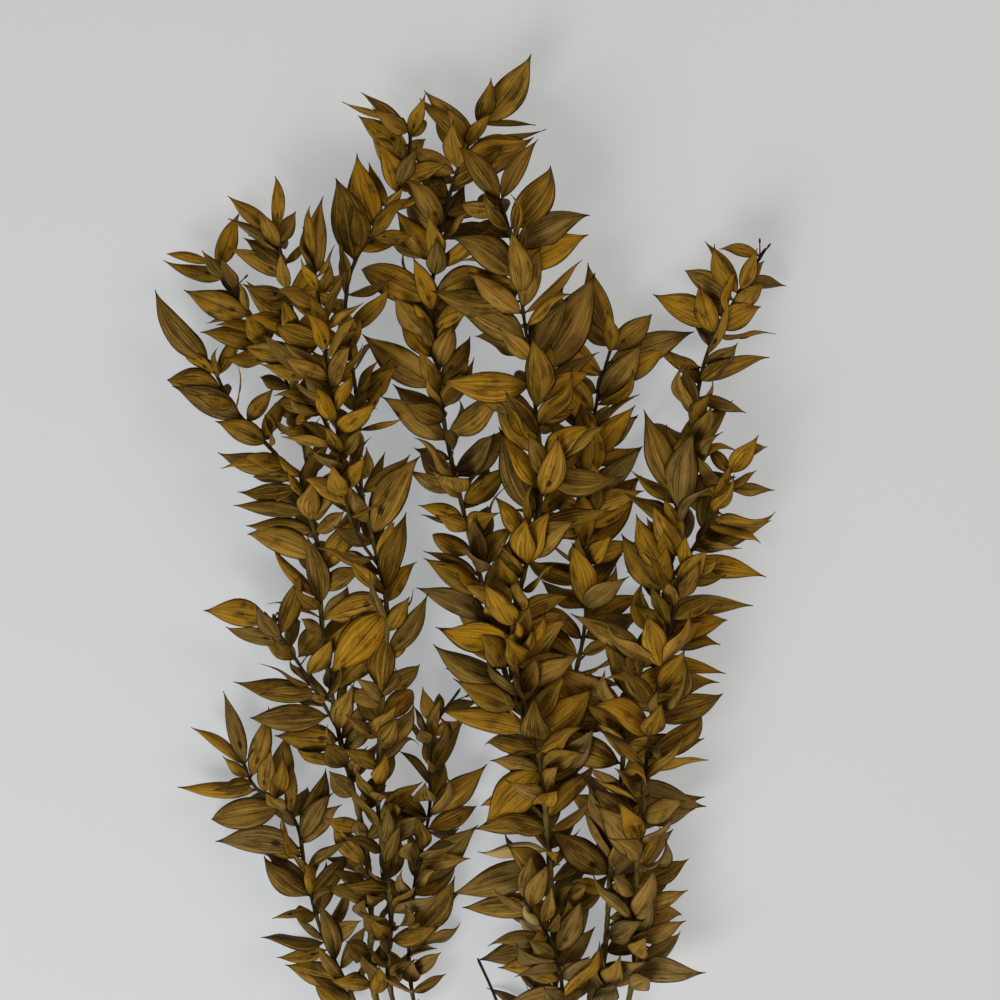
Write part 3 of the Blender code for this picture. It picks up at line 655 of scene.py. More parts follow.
def grow_leaves():
    """Alternate leaves along every branch, each turned until it is clear of the rest."""
    missed = 0
    for name, branch in BRANCHES.items():
        axis = axes[name][0]
        for k, rng, spot in spots_along(name, LEAF_SPACING, FOOT_JITTER, FOOT_JITTER, ""):
            if any(abs(spot - taken) < FOOT_CLEAR for taken in feet.get(name, [])):
                continue
            size = size_at(branch, spot)
            for attempt in range(TRIES):
                loose = attempt / TRIES
                leaf = try_leaf(rng, axis[spot].copy(), tangent_at(axis, spot), 1 - 2 * (k % 2),
                                size * (1.0 - LOOSER_LENGTH * loose), loose)
                if place(name, leaf):
                    break
            else:
                missed += 1
    print("spots left bare", missed, "leaves in all", leaves_so_far())


grow_leaves()

# %% [markdown]
# The solids were moved as one, so that their box stands centred on the origin. The same step is worked
# out here from the same points, and then compared with the frame's own box.

# %% Place in the frame
solid_points = [p for points, _ in stems.values() for p in points]
solid_points += [p for leaves in grown.values() for leaf in leaves for p in blade_mesh(leaf)[0]]
low = np.min([tuple(p) for p in solid_points], axis=0)
high = np.max([tuple(p) for p in solid_points], axis=0)
SHIFT = np.array([-(low[0] + high[0]) / 2, -(low[1] + high[1]) / 2, -low[2]])
worst = max(abs((high[i] + SHIFT[i]) * MM - solid_high[i]) for i in range(3))
print("the grown points meet the frame's box within", round(worst * 1000, 3), "mm")

# %% [markdown]
# The solids hold as many leaves as their triangles allow. The real stems carry more, half hidden among
# the others or turned towards the camera, where they cover the stem. Some of these were read one by one.

# %% Leaves that show inside the outline
# The same five numbers as in the table above
INNER_LEAVES = {
    "centre_front": (
        (7, 575, -34, 606, 44), (9, 556, -50, 565, 38), (12, 549, 31, 597, 36), (27, 465, 58, 471, 45),
        (30, 478, 70, 500, 40), (34, 429, 70, 458, 45), (30, 436, -3, 478, 32), (33, 420, 92, 417, 38)),
    "centre": (
        (-53, 592, -81, 629, 44), (-52, 531, -83, 561, 50), (-48, 503, -35, 541, 52),
        (-44, 472, -28, 498, 40), (12, 255, 53, 304, 42), (14, 237, 53, 293, 48), (38, 157, 62, 186, 56),
        (30, 184, -10, 142, 52), (39, 66, 87, 97, 38), (41, 118, -12, 111, 34)),
    "centre_back": (
        (75, 454, 90, 478, 38), (72, 440, 110, 466, 45), (73, 448, 110, 467, 48), (72, 360, 112, 416, 50)),
    "right_long": (
        (147, 400, 117, 470, 30), (142, 388, 153, 454, 40), (144, 406, 176, 389, 42),
        (155, 470, 136, 436, 42), (92, 146, 58, 162, 45), (90, 97, 43, 134, 42), (107, 146, 99, 169, 56)),
    "left_thick": (
        (-140, 350, -116, 404, 44), (-142, 342, -114, 386, 36), (-143, 300, -162, 270, 60)),
    "left_tall": (
        (-92, 320, -140, 306, 52), (-94, 312, -135, 262, 46), (-92, 288, -132, 248, 38),
        (-94, 290, -93, 246, 52), (-98, 220, -118, 250, 46)),
}
INNER_TRIES = 90
BOX_MARGIN = np.array([3.0, 3.0, 1.0])


def inside_box(leaf):
    """Whether a leaf stays within the box that the solids fill."""
    corners = np.array([tuple(p) for p in blade_mesh(leaf)[0]])
    return bool(np.all(corners >= low - BOX_MARGIN) and np.all(corners <= high + BOX_MARGIN))


grow_listed("inner", INNER_LEAVES, INNER_TRIES, inside_box)

# %% [markdown]
# Leaves that sit on top of a stem hide it from the camera. Their own draw keeps them on the side that
# faces away from the surface, where a leaf of the rule seldom ends up.

# %% Drawing a leaf on top of a stem
FRONT_AROUND = (12.0, 168.0)
FRONT_LEAN = (20.0, 62.0)
FRONT_ARCH = (-80.0, 5.0)


def try_front_leaf(rng, foot, tangent, length):
    """One draw of a leaf on the side of the stem that faces away from the surface."""
    side, up = frame_along(tangent)
    around = math.radians(rng.uniform(*FRONT_AROUND))
    lean = math.radians(rng.uniform(*FRONT_LEAN))
    out = side * math.cos(around) + up * math.sin(around)
    along = (tangent * math.cos(lean) + out * math.sin(lean)).normalized()
    facing = (out - along * out.dot(along)).normalized()
    facing = Matrix.Rotation(math.radians(rng.gauss(0.0, ROLL_SPREAD)), 3, along) @ facing
    return bow(foot, along, facing, length * rng.uniform(*LENGTH_RANGE), rng.uniform(*WIDTH_RANGE),
               rng.uniform(*FRONT_ARCH), rng.gauss(0.0, TWIST_SPREAD))


print("leaves on top of a stem lean from it by", FRONT_LEAN, "degrees")

# %% [markdown]
# Three more rounds put leaves in the places that are still free: first on top of the stems, then at their
# sides, and last on the branches that the photograph shows most crowded. A leaf that finds no room is left
# out, so the rounds end by themselves.

# %% Fill the free places
EXTRA_TRIES = 40
EXTRA_JITTER = 0.3
SIDE_LOOSE = 0.4
# Spacing in millimetres and size of the leaves, as a share of the branch's own
FRONT_ROUND = (36.0, 0.98)
SIDE_ROUND = (23.0, 1.02)
DENSE_ROUND = (22.0, 1.02)
DENSE_BRANCHES = ("centre", "centre_front", "centre_back", "left_fork_inner", "left_fork", "centre_low")


def grow_round(label, spacing, share, names):
    """One more round of leaves along the named branches."""
    before = leaves_so_far()
    for name in names:
        axis = axes[name][0]
        for _, rng, spot in spots_along(name, spacing, spacing / 2, EXTRA_JITTER * spacing, f"{label}:"):
            tangent, size = tangent_at(axis, spot), size_at(BRANCHES[name], spot) * share
            for attempt in range(EXTRA_TRIES):
                loose = attempt / EXTRA_TRIES
                length = size * (1.0 - LOOSER_LENGTH * loose)
                if label == "front":
                    leaf = try_front_leaf(rng, axis[spot].copy(), tangent, length)
                else:
                    leaf = try_leaf(rng, axis[spot].copy(), tangent, rng.choice((-1, 1)), length,
                                    SIDE_LOOSE + (1.0 - SIDE_LOOSE) * loose)
                if inside_box(leaf) and place(name, leaf):
                    break
    print(label, "leaves", leaves_so_far() - before)


grow_round("front", *FRONT_ROUND, BRANCHES)
grow_round("side", *SIDE_ROUND, BRANCHES)
grow_round("dense", *DENSE_ROUND, DENSE_BRANCHES)
print("leaves in all", leaves_so_far())

# %% [markdown]
# A mesh is collected from many small closed patches. Numbers that the materials need, such as how far
# along a leaf a point lies, travel with the mesh as attributes, because a projected texture would slide
# over the bent blades.

# %% A mesh with attributes
def put(name, data):
    """Puts a mesh, light or camera into the scene as an object."""
    thing = bpy.data.objects.new(name, data)
    bpy.context.scene.collection.objects.link(thing)
    return thing


class Pile:
    """Collects corner points, faces and one value of each attribute a corner."""

    def __init__(self, *names):
        self.points, self.faces, self.count = [], [], 0
        self.values = {name: [] for name in names}

    def add(self, points, faces, **values):
        self.points.append(points)
        self.faces += [tuple(self.count + i for i in face) for face in faces]
        self.count += len(points)
        for name, stored in self.values.items():
            stored.append(np.broadcast_to(np.asarray(values[name], float), (len(points),)))

    def build(self, name, material):
        mesh = bpy.data.meshes.new(name)
        mesh.from_pydata(((np.vstack(self.points) + SHIFT) * MM).tolist(), [], self.faces)
        for key, stored in self.values.items():
            mesh.attributes.new(key, "FLOAT", "POINT").data.foreach_set("value", np.concatenate(stored))
        mesh.materials.append(material)
        mesh.shade_smooth()
        print(name, len(mesh.vertices), "corners", len(mesh.polygons), "faces")
        return put(name, mesh)

# %% [markdown]
# A real blade is widest before its middle, narrows to a thin dark stalk, and ends in a needle. A subdivided
# plane with modifiers could be cut to this outline, but a grid of points from one table gives every leaf
# both its faces and a rim at a few hundred triangles.

# %% Outline and faces of a leaf
# Share of the length, and width there as a share of the widest
OUTLINE = ((0.0, 0.055), (0.045, 0.065), (0.08, 0.24), (0.12, 0.45), (0.18, 0.67), (0.25, 0.86),
           (0.32, 0.97), (0.40, 1.03), (0.48, 1.03), (0.56, 0.97), (0.64, 0.84), (0.72, 0.66),
           (0.79, 0.47), (0.85, 0.30), (0.90, 0.17), (0.94, 0.085), (0.97, 0.042), (1.0, 0.016))
COLUMNS = 7
STATIONS = np.array([share for share, _ in OUTLINE])[:, None]
WIDTHS = np.array([width for _, width in OUTLINE])[:, None]
ACROSS = np.linspace(-1.0, 1.0, COLUMNS)[None, :]
# What the material knows of each corner of a leaf, top and bottom
LEAF_ALONG = np.tile(np.repeat(STATIONS[:, 0], COLUMNS), 2)
LEAF_ACROSS = np.tile(np.tile(ACROSS[0], len(OUTLINE)), 2)


def grid_faces(rows, columns):
    """Faces of a closed sheet: a top grid, a bottom grid and the rim that joins them."""
    layer = rows * columns
    faces = []
    for r in range(rows - 1):
        for c in range(columns - 1):
            a = r * columns + c
            faces.append((a, a + 1, a + columns + 1, a + columns))
            faces.append((layer + a, layer + a + columns, layer + a + columns + 1, layer + a + 1))
    rim = [(r * columns + c, (r + 1) * columns + c, flip)
           for r in range(rows - 1) for c, flip in ((0, False), (columns - 1, True))]
    rim += [(r * columns + c, r * columns + c + 1, flip)
            for c in range(columns - 1) for r, flip in ((0, True), (rows - 1, False))]
    for a, b, flip in rim:
        face = (a, b, layer + b, layer + a)
        faces.append(face[::-1] if flip else face)
    return faces


LEAF_FACES = grid_faces(len(OUTLINE), COLUMNS)
print("faces of a leaf", len(LEAF_FACES))

# %% [markdown]
# Every leaf dries in its own way. It folds along its middle, its rim waves, and its tip bends back. These
# few numbers are drawn for each leaf, and the next cell turns them into a shape.

# %% How a leaf has dried
# Ranges: the fold in radians, the rest as shares of the length, and WAVES as turns along the rim
BOAT_SHARE = 0.08
BOAT_FOLD, OPEN_FOLD = (0.75, 1.15), (0.08, 0.60)
WAVE, WAVES = (0.006, 0.032), (0.8, 1.9)
BUCKLE, SICKLE, RECURVE = (0.002, 0.014), (-0.34, 0.34), (-0.8, 2.0)


def leaf_look(rng, pale):
    """How one leaf has dried: its fold, wave and bend. The palest ones have closed like a boat."""
    boat = rng.random() < BOAT_SHARE or pale
    return dict(fold=rng.uniform(*(BOAT_FOLD if boat else OPEN_FOLD)), wave=rng.uniform(*WAVE),
                waves=rng.uniform(*WAVES), phase=rng.random(), buckle=rng.uniform(*BUCKLE),
                sickle=rng.uniform(*SICKLE), recurve=rng.uniform(*RECURVE))


print("share of the leaves that close like a boat", BOAT_SHARE)

# %% [markdown]
# The fine leaf follows the middle line of its plain blade, so it stands in the same free place. Each step
# below bends or lifts the whole grid at once. Sculpting the leaves by hand would look as good, but not for
# almost a thousand of them.

# %% The fine leaf
BLADE_THICK, STALK_THICK = 0.42, 1.1
# Shares of the length: where the stalk ends, the needle starts and the tip begins to bend
STALK_END, NEEDLE_START, RECURVE_FROM = 0.08, 0.93, 0.62
# Thickness lost at the rims of the blade and of the stalk, and what the needle keeps
RIM_THINNER, STALK_RIM_THINNER, NEEDLE_KEEPS = 0.45, 0.3, 0.8
# How much longer the fine leaf is than its plain blade, and its least half width
NEEDLE, NARROWEST = 1.05, 0.32
# Height of the middle over the plain blade's own, and how soon it is reached
MIDDLE_LIFT, LIFT_RISE = 0.65, 1.5
WAVE_SLANT = 0.22
BUCKLE_WAVES, BUCKLE_PHASE = 1.3, 1.7


def leaf_sheet(leaf, foot, look):
    """Corner points of a fine leaf round the same middle line as its plain blade."""
    t, v = STATIONS, ACROSS
    along, up = np.array(leaf["along"]), np.array(leaf["up"])
    side = np.cross(along, up)
    length = leaf["length"] * NEEDLE
    arch = math.radians(leaf["arch"]) or TINY
    reach = (along * (np.sin(arch * t) / arch) + up * ((1 - np.cos(arch * t)) / arch)) * length
    turn = math.radians(leaf["twist"]) * t
    normal = up * np.cos(arch * t) - along * np.sin(arch * t)
    across = side * np.cos(turn) + np.cross(along, side) * np.sin(turn)
    lift = (normal * np.cos(turn) + np.cross(along, normal) * np.sin(turn)) * leaf["ridge"]
    reach = reach + across * (look["sickle"] * length * t * (1 - t))
    reach = reach - lift * (look["recurve"] * length * np.clip(t - RECURVE_FROM, 0, 1) ** 2)
    half = length / NEEDLE * LEAF_WIDTH_SHARE * leaf["wide"] / 2 * WIDTHS
    half = np.maximum(half, NARROWEST)
    fold = look["fold"]
    spread = v * np.cos(fold * np.abs(v))
    drop = np.abs(v) * np.sin(fold * np.abs(v))
    wave = np.sin(math.tau * (look["waves"] * t + look["phase"] + WAVE_SLANT * v))
    buckle = np.sin(math.tau * (BUCKLE_WAVES * t + look["phase"] * BUCKLE_PHASE))
    height = MIDDLE_LIFT * np.minimum(WIDTHS * LIFT_RISE, 1.0) - half * drop
    height = height + look["wave"] * length * WIDTHS * v * v * wave
    height = height + look["buckle"] * length * WIDTHS * (1 - v * v) * buckle
    middle = (np.array(foot) + reach)[:, None, :] + across[:, None, :] * (half * spread)[:, :, None]
    middle = middle + lift[:, None, :] * height[:, :, None]
    middle[:, :, 2] = np.maximum(middle[:, :, 2], STALK_THICK / 2)
    face = np.cross(np.gradient(middle, axis=1), np.gradient(middle, axis=0))
    face /= np.maximum(np.linalg.norm(face, axis=2, keepdims=True), TINY)
    thick = BLADE_THICK * (1 - RIM_THINNER * v * v) * np.ones_like(t)
    thick = np.where(t < STALK_END, STALK_THICK * (1 - STALK_RIM_THINNER * v * v), thick)
    thick = np.where(t > NEEDLE_START, BLADE_THICK * NEEDLE_KEEPS, thick)
    half_skin = face * (thick / 2)[:, :, None]
    sheet = np.vstack([(middle + half_skin).reshape(-1, 3), (middle - half_skin).reshape(-1, 3)])
    sheet[:, 2] = np.maximum(sheet[:, 2], 0.0)
    return sheet


print("corners of a leaf", len(LEAF_ALONG))

# %% [markdown]
# The bark is a many-sided tube with low ridges, a swelling wherever a leaf stands, and a clean cut end.
# Curves with a bevel give a rounder tube faster, but they have no place for ridges and swellings of their
# own.

# %% Bark with ridges and swellings
BARK_SIDES = 10
BARK_STEP = 3
# Share of the plain stem's radius, and how much and how fast it wanders along the stem
BARK_SHARE, BARK_WANDER, WANDER_RATE = 0.90, 0.05, 0.11
# Swelling at a leaf, ridges round the stem, and the narrow first ring: shares of the radius come first
SWELL, SWELL_REACH = 0.28, 2.6
RIDGE, RIDGES, RIDGE_TURN = 0.06, 5, 0.02
TIP_SHARE = 0.45
# Radius of the darkest twigs, and how much thicker the palest bark is
THINNEST, THICKER = 1.1, 2.2


def bark_mesh(name, spots):
    """Ridged tube along a branch: points, faces and how thick the stem is there, from 0 to 1."""
    smooth = fine_axes[name]
    last = len(smooth) - 1
    stations = sorted({*range(0, last, BARK_STEP), last})
    phase = random.Random(f"{SEED}:bark:{name}").uniform(0, math.tau)
    angles = np.arange(BARK_SIDES) * math.tau / BARK_SIDES
    points, thick = [], []
    for k in stations:
        side, up = frame_along(tangent_at(smooth, k))
        radius = radius_at(BRANCHES[name], k / last)
        radius *= BARK_SHARE + BARK_WANDER * math.sin(WANDER_RATE * k + phase)
        near = min((abs(k - spot) for spot in spots), default=math.inf)
        radius *= 1 + SWELL * math.exp(-(near / SWELL_REACH) ** 2)
        if k == 0:
            radius *= TIP_SHARE
        ring = radius * (1 + RIDGE * np.sin(RIDGES * angles + RIDGE_TURN * k + phase))
        points.append(np.array(smooth[k]) + np.outer(ring * np.cos(angles), side)
                      + np.outer(ring * np.sin(angles), up))
        thick += [min(1.0, max(0.0, (radius - THINNEST) / THICKER))] * BARK_SIDES
    return np.vstack(points), tube_faces(len(stations), BARK_SIDES), np.array(thick)


print("thickest stem", 2 * max(branch["radius"] for branch in BRANCHES.values()), "mm")

# %% [markdown]
# A small dry scale stands at the foot of every leaf, and a few bare twigs end in a bud. They are too thin
# for the plain solids. Both are drawn as small closed patches, and no node of the frame is needed for them,
# because they grow on the bark.

# %% Scales and twigs
SCALE_LENGTH = (2.0, 4.2)
# Shares of a scale's length: half its width, and how far its tip leans out
SCALE_HALF_WIDTH, SCALE_LEAN = 0.28, 0.35
# Millimetres out from the axis: its root and its tip, and its back beyond the root
SCALE_ROOT, SCALE_TIP, SCALE_BACK = 0.5, 1.2, 0.9
TWIG_SIDES = 6
TWIG_THICK = 0.75
TWIG_RISE = 2.0
# Share of the length from the foot, and radius there as a share of the twig's own
TWIG_PROFILE = ((0.0, 1.0), (0.4, 0.75), (0.72, 0.6), (0.80, 1.15), (0.90, 1.2), (1.0, 0.15))
# Branch, foot and tip as seen from above
TWIGS = (("right_long", (204, 588), (217, 606)), ("right_long", (208, 594), (208, 610)),
         ("left_upper", (-214, 570), (-202, 581)), ("mid_slim", (-40, 236), (-24, 243)),
         ("left_low", (-206, 187), (-199, 199)), ("left_side", (-184, 300), (-177, 311)),
         ("left_side", (-160, 268), (-153, 277)))


def scale_mesh(foot, along, out, size):
    """Small dry scale at a leaf's foot: a flat four-sided spike."""
    side = along.cross(out).normalized() * size * SCALE_HALF_WIDTH
    base = foot + out * SCALE_ROOT
    tip = foot + out * (SCALE_TIP + SCALE_LEAN * size) + along * size
    points = [base + side, base - side, base + out * SCALE_BACK, tip]
    return np.array([tuple(p) for p in points]), [(0, 2, 1), (0, 1, 3), (1, 2, 3), (2, 0, 3)]


def twig_mesh(foot, tip):
    """Bare tapered twig with a small bud at its end."""
    along, length = (tip - foot).normalized(), (tip - foot).length
    side, up = frame_along(along)
    points = []
    for share, radius in reversed(TWIG_PROFILE):
        for i in range(TWIG_SIDES):
            angle, wide = math.tau * i / TWIG_SIDES, radius * TWIG_THICK
            points.append(foot + along * (length * share) + side * (wide * math.cos(angle))
                          + up * (wide * math.sin(angle)))
    return np.array([tuple(p) for p in points]), tube_faces(len(TWIG_PROFILE), TWIG_SIDES)


print("bare twigs", len(TWIGS))

# %% [markdown]
# Shader sums read best as plain sums. This class wraps one socket of a material, so that two masks can be
# added or multiplied with the usual signs, and one method adds every other kind of node.

# %% Sums on sockets
class Value:
    """A socket of a node tree that can stand in an expression."""

    def __init__(self, tree, socket=None):
        self.tree, self.socket = tree, socket

    def node(self, kind, settings, inputs, output=0):
        """Adds a node: its type, its settings, the values or links of its sockets."""
        made = self.tree.nodes.new(kind)
        for key, setting in settings.items():
            setattr(made, key, setting)
        for key, entry in inputs.items():
            if isinstance(entry, Value):
                self.tree.links.new(entry.socket, made.inputs[key])
            else:
                made.inputs[key].default_value = entry
        return Value(self.tree, made.outputs[output])

    def sum(self, operation, a, b=0.0):
        return self.node("ShaderNodeMath", {"operation": operation}, {0: a, 1: b})

    def __add__(self, other):
        return self.sum("ADD", self, other)

    def __sub__(self, other):
        return self.sum("SUBTRACT", self, other)

    def __mul__(self, other):
        return self.sum("MULTIPLY", self, other)

    def size(self):
        return self.sum("ABSOLUTE", self)

    def step(self, start, end):
        """0 before start, 1 after end, and smooth between."""
        return self.node("ShaderNodeMapRange", {"interpolation_type": "SMOOTHSTEP"},
                         {"Value": self, "From Min": start, "From Max": end})

    def mix(self, colour_a, colour_b):
        """Colour a where this value is 0 and colour b where it is 1."""
        return self.node("ShaderNodeMix", {"data_type": "RGBA"}, {0: self, 6: colour_a, 7: colour_b},
                         output=2)

    def noise(self, x, y, z, detail, rough):
        spot = self.node("ShaderNodeCombineXYZ", {}, {0: x, 1: y, 2: z})
        return self.node("ShaderNodeTexNoise", {},
                         {"Vector": spot, "Scale": 1.0, "Detail": detail, "Roughness": rough})

    def attribute(self, name):
        return self.node("ShaderNodeAttribute", {"attribute_name": name}, {}, output="Fac")


print("a value can", [name for name in vars(Value) if not name.startswith("_")])

# %% [markdown]
# Every finish starts from the same blank material and ends in the same three links, for colour, roughness
# and relief. The relief is a bump and not real geometry, because the fibres are finer than a leaf's grid.

# %% Starting and finishing a material
def blank_material(name):
    """A material with only its shader: the material, the shader and a value to start sums from."""
    made = bpy.data.materials.new(name)
    made.use_nodes = True
    return made, made.node_tree.nodes["Principled BSDF"], Value(made.node_tree)


def finish_shader(shader, colour, rough, relief, strength, depth, shine):
    """Joins the finished sums to the shader. The depth of the relief is in metres."""
    bump = relief.node("ShaderNodeBump", {}, {"Height": relief, "Strength": strength, "Distance": depth})
    for key, value in (("Base Color", colour), ("Roughness", rough), ("Normal", bump)):
        value.tree.links.new(value.socket, shader.inputs[key])
    shader.inputs["Specular IOR Level"].default_value = shine


print("materials so far", len(bpy.data.materials))

# %% [markdown]
# A dry blade is ochre to olive brown. Fine fibres run from the stalk to the needle and show as streaks,
# which follow the outline because they are drawn in the leaf's own across and along numbers. The rim, the
# stalk and the needle are darker, patches have faded to grey tan, and some leaves keep a dark scar where a
# flower sat. Painted noise in space would cut through the blades and look like stone.

# %% Leaf material
OCHRE = (0.330, 0.152, 0.002, 1.0)
GOLD = (0.540, 0.335, 0.050, 1.0)
OLIVE = (0.076, 0.035, 0.0005, 1.0)
UMBER = (0.021, 0.008, 0.0003, 1.0)
RIM = (0.009, 0.004, 0.001, 1.0)
FADED = (0.230, 0.152, 0.055, 1.0)
PALE = (0.480, 0.330, 0.130, 1.0)
LEAF_RELIEF, LEAF_SHINE = (0.9, 0.0008), 0.07


def leaf_material():
    made, shader, start = blank_material("dry leaf")
    across, along, tone, fade, scar, pale = (
        start.attribute(name) for name in ("across", "along", "tone", "fade", "scar", "pale"))
    # Noises that run with the leaf: many turns across it and few along it
    fibres = start.noise(across * 12.0, along * 1.2, tone * 41.0, 3.0, 0.65)
    hairs = start.noise(across * 46.0, along * 2.4, tone * 67.0, 3.0, 0.6)
    veins = (start.noise(across * 6.5, along * 0.6, tone * 93.0, 1.0, 0.5) - 0.5).size().step(0.030, 0.004)
    patches = start.noise(across * 1.4, along * 3.0, tone * 23.0 + 5.0, 3.0, 0.65)
    grain = start.noise(across * 16.0, along * 40.0, tone * 57.0, 2.0, 0.7)
    # Parts of the leaf: middle line, rim, both ends and the round scar
    midrib = across.size().step(0.07, 0.015) * along.step(0.95, 0.3)
    edge = (across.size() + hairs * 0.10).step(0.93, 1.02)
    ends = along.step(0.10, 0.04) + along.step(0.87, 0.97)
    spot_x, spot_y = across * 3.4, (along - 0.20 - scar * 0.10) * 13.0
    spot = (spot_x * spot_x + spot_y * spot_y + fibres * 1.6).step(1.75, 0.9) * scar
    colour = (tone * 0.95 + patches * 1.3 - 0.62).step(0.0, 1.0).mix(OLIVE, OCHRE)
    # Each coat lies over the ones before it, where its mask says and as strongly as its number says
    coats = ((patches.step(0.50, 0.30) * 0.8, UMBER), (fibres.step(0.50, 0.70) * 0.45, GOLD),
             (hairs.step(0.52, 0.72) * 0.55, GOLD),
             (fade * (patches.step(0.35, 0.6) * 0.7 + 0.3), FADED), (pale * 0.85, PALE),
             (hairs.step(0.48, 0.28) * 0.6, UMBER), (fibres.step(0.48, 0.30) * 0.45, UMBER),
             (veins * 0.5, UMBER), (grain.step(0.66, 0.74) * 0.6, UMBER), (midrib * 0.55, UMBER),
             (edge * 0.92, RIM), (ends * 0.92, RIM), (spot * 0.95, RIM))
    for mask, coat in coats:
        colour = mask.mix(colour, coat)
    relief = fibres * 0.8 + hairs * 0.5 - veins * 0.35 - midrib * 0.6
    finish_shader(shader, colour, fibres * 0.25 + 0.48, relief, *LEAF_RELIEF, LEAF_SHINE)
    return made


leaf_finish = leaf_material()
print(leaf_finish.name, "nodes", len(leaf_finish.node_tree.nodes))

# %% [markdown]
# The thin twigs are almost black, and the thick feet of the stems show olive brown bark with fine
# lengthwise ridges. The thickness of the stem drives this change, so that one material does for both. Two
# materials would meet in a hard ring somewhere along the stem.

# %% Bark material
TWIG = (0.014, 0.008, 0.002, 1.0)
BARK = (0.125, 0.085, 0.014, 1.0)
BARK_LIGHT = (0.260, 0.185, 0.045, 1.0)
BARK_RELIEF, BARK_SHINE = (0.6, 0.0006), 0.12


def bark_material():
    made, shader, start = blank_material("dry bark")
    thick, around, run = (start.attribute(name) for name in ("thick", "around", "run"))
    streaks = start.noise(around * 9.0, run * 0.045, thick * 3.0, 4.0, 0.6)
    blotches = start.noise(around * 1.5, run * 0.02, 3.0, 3.0, 0.6)
    colour = (thick * 0.95 + blotches * 0.3 - 0.12).step(0.0, 0.9).mix(TWIG, BARK)
    colour = (streaks.step(0.50, 0.70) * thick).mix(colour, BARK_LIGHT)
    colour = (streaks.step(0.50, 0.32) * 0.6).mix(colour, TWIG)
    finish_shader(shader, colour, streaks * 0.3 + 0.5, streaks, *BARK_RELIEF, BARK_SHINE)
    return made


bark_finish = bark_material()
print(bark_finish.name, "nodes", len(bark_finish.node_tree.nodes))

# %% [markdown]
# The leaves low on the right have faded most, the ones low on the left are darker, and the ones on the left
# carry most of the dark scars. A few have bleached. Each leaf gets its own numbers for this, because one
# material for each leaf would be slow to change.

# %% Colours of one leaf
# Places in the picture, in millimetres from the middle stem and from the picture's lower edge
FADED_BELOW = 260.0
FADED_RIGHT_OF, FADED_ELSEWHERE = -30, 0.45
FADE_ANYWHERE, FADE_LOW, MOST_FADED = 0.45, (0.1, 0.65), 0.9
SCARRED_LEFT_OF = -60.0
SCAR_SHARES, SCAR_DEPTH = (0.26, 0.08), (0.7, 1.0)
DARKER_LEFT_OF, DARKER_LOW_LEFT = -20, 0.62
PALE_TIPS = (Vector((-12, 111)), Vector((14, 65)))
PALE_NEAR = 9.0


def is_pale(leaf):
    """Whether a leaf points at one of the bleached places."""
    tip = leaf["foot"] + leaf["along"] * leaf["length"]
    return any((tip.xy - spot).length < PALE_NEAR for spot in PALE_TIPS)


def colour_numbers(rng, pale, foot):
    """Tone, fading, scar and paleness of one leaf."""
    low_right = max(0.0, min(1.0, (FADED_BELOW - foot[1]) / FADED_BELOW))
    low_right *= 1.0 if foot[0] > FADED_RIGHT_OF else FADED_ELSEWHERE
    fade = rng.random() ** 2 * FADE_ANYWHERE + low_right * rng.uniform(*FADE_LOW)
    share = SCAR_SHARES[0] if foot[0] < SCARRED_LEFT_OF else SCAR_SHARES[1]
    scar = rng.uniform(*SCAR_DEPTH) if rng.random() < share else 0.0
    darker = foot[0] < DARKER_LEFT_OF and foot[1] < FADED_BELOW
    tone = rng.random() * (DARKER_LOW_LEFT if darker else 1.0)
    return dict(tone=tone, fade=min(fade, MOST_FADED), scar=scar, pale=float(pale))


print("bleached places", len(PALE_TIPS))

# %% [markdown]
# Every leaf of a stem goes into one pile, and the scales, twigs and bark into another, because they get
# another material. The fine leaf starts on the smooth axis, at the point beside its plain blade.

# %% Dress a leaf and a branch
# How thick the scales and bare twigs count as for the bark's colour, from 0 to 1
SCALE_TONE, TWIG_TONE = 0.15, 0.05
# A leaf that points along its stem has no room for a scale
LEAST_OUT = 0.1


def dress_leaf(name, k, leaf, leaves_pile, wood_pile):
    """Adds one leaf with its scale to the piles, and returns its place on the branch."""
    coarse, smooth = axes[name][0], fine_axes[name]
    spot = min(range(len(coarse)), key=lambda i: (coarse[i] - leaf["foot"]).length_squared)
    foot = smooth[min(spot, len(smooth) - 1)]
    rng = random.Random(f"{SEED}:look:{name}:{k}")
    pale = is_pale(leaf)
    sheet = leaf_sheet(leaf, foot, leaf_look(rng, pale))
    leaves_pile.add(sheet, LEAF_FACES, across=LEAF_ACROSS, along=LEAF_ALONG,
                    **colour_numbers(rng, pale, foot))
    tangent = tangent_at(coarse, spot)
    out = leaf["along"] - tangent * leaf["along"].dot(tangent)
    if out.length > LEAST_OUT:
        scale = scale_mesh(foot, tangent, out.normalized(), rng.uniform(*SCALE_LENGTH))
        wood_pile.add(*scale, thick=SCALE_TONE, around=rng.random(), run=spot)
    return spot


def dress_branch(name, spots, wood_pile):
    """Adds the bark and the bare twigs of one branch to the pile."""
    smooth = fine_axes[name]
    for twig_branch, twig_foot, twig_tip in TWIGS:
        if twig_branch == name:
            k = min(range(len(smooth)), key=lambda i: (smooth[i].xy - Vector(twig_foot)).length)
            tip = Vector((*twig_tip, smooth[k].z + TWIG_RISE))
            wood_pile.add(*twig_mesh(smooth[k], tip), thick=TWIG_TONE, around=0.0, run=k)
    points, faces, thick = bark_mesh(name, spots)
    rows = len(points) // BARK_SIDES
    wood_pile.add(points, faces, thick=thick, around=np.tile(np.sin(np.arange(BARK_SIDES)), rows),
                  run=np.repeat(np.arange(rows) * BARK_STEP, BARK_SIDES))


print("branches with leaves", len(grown), "of", len(BRANCHES))

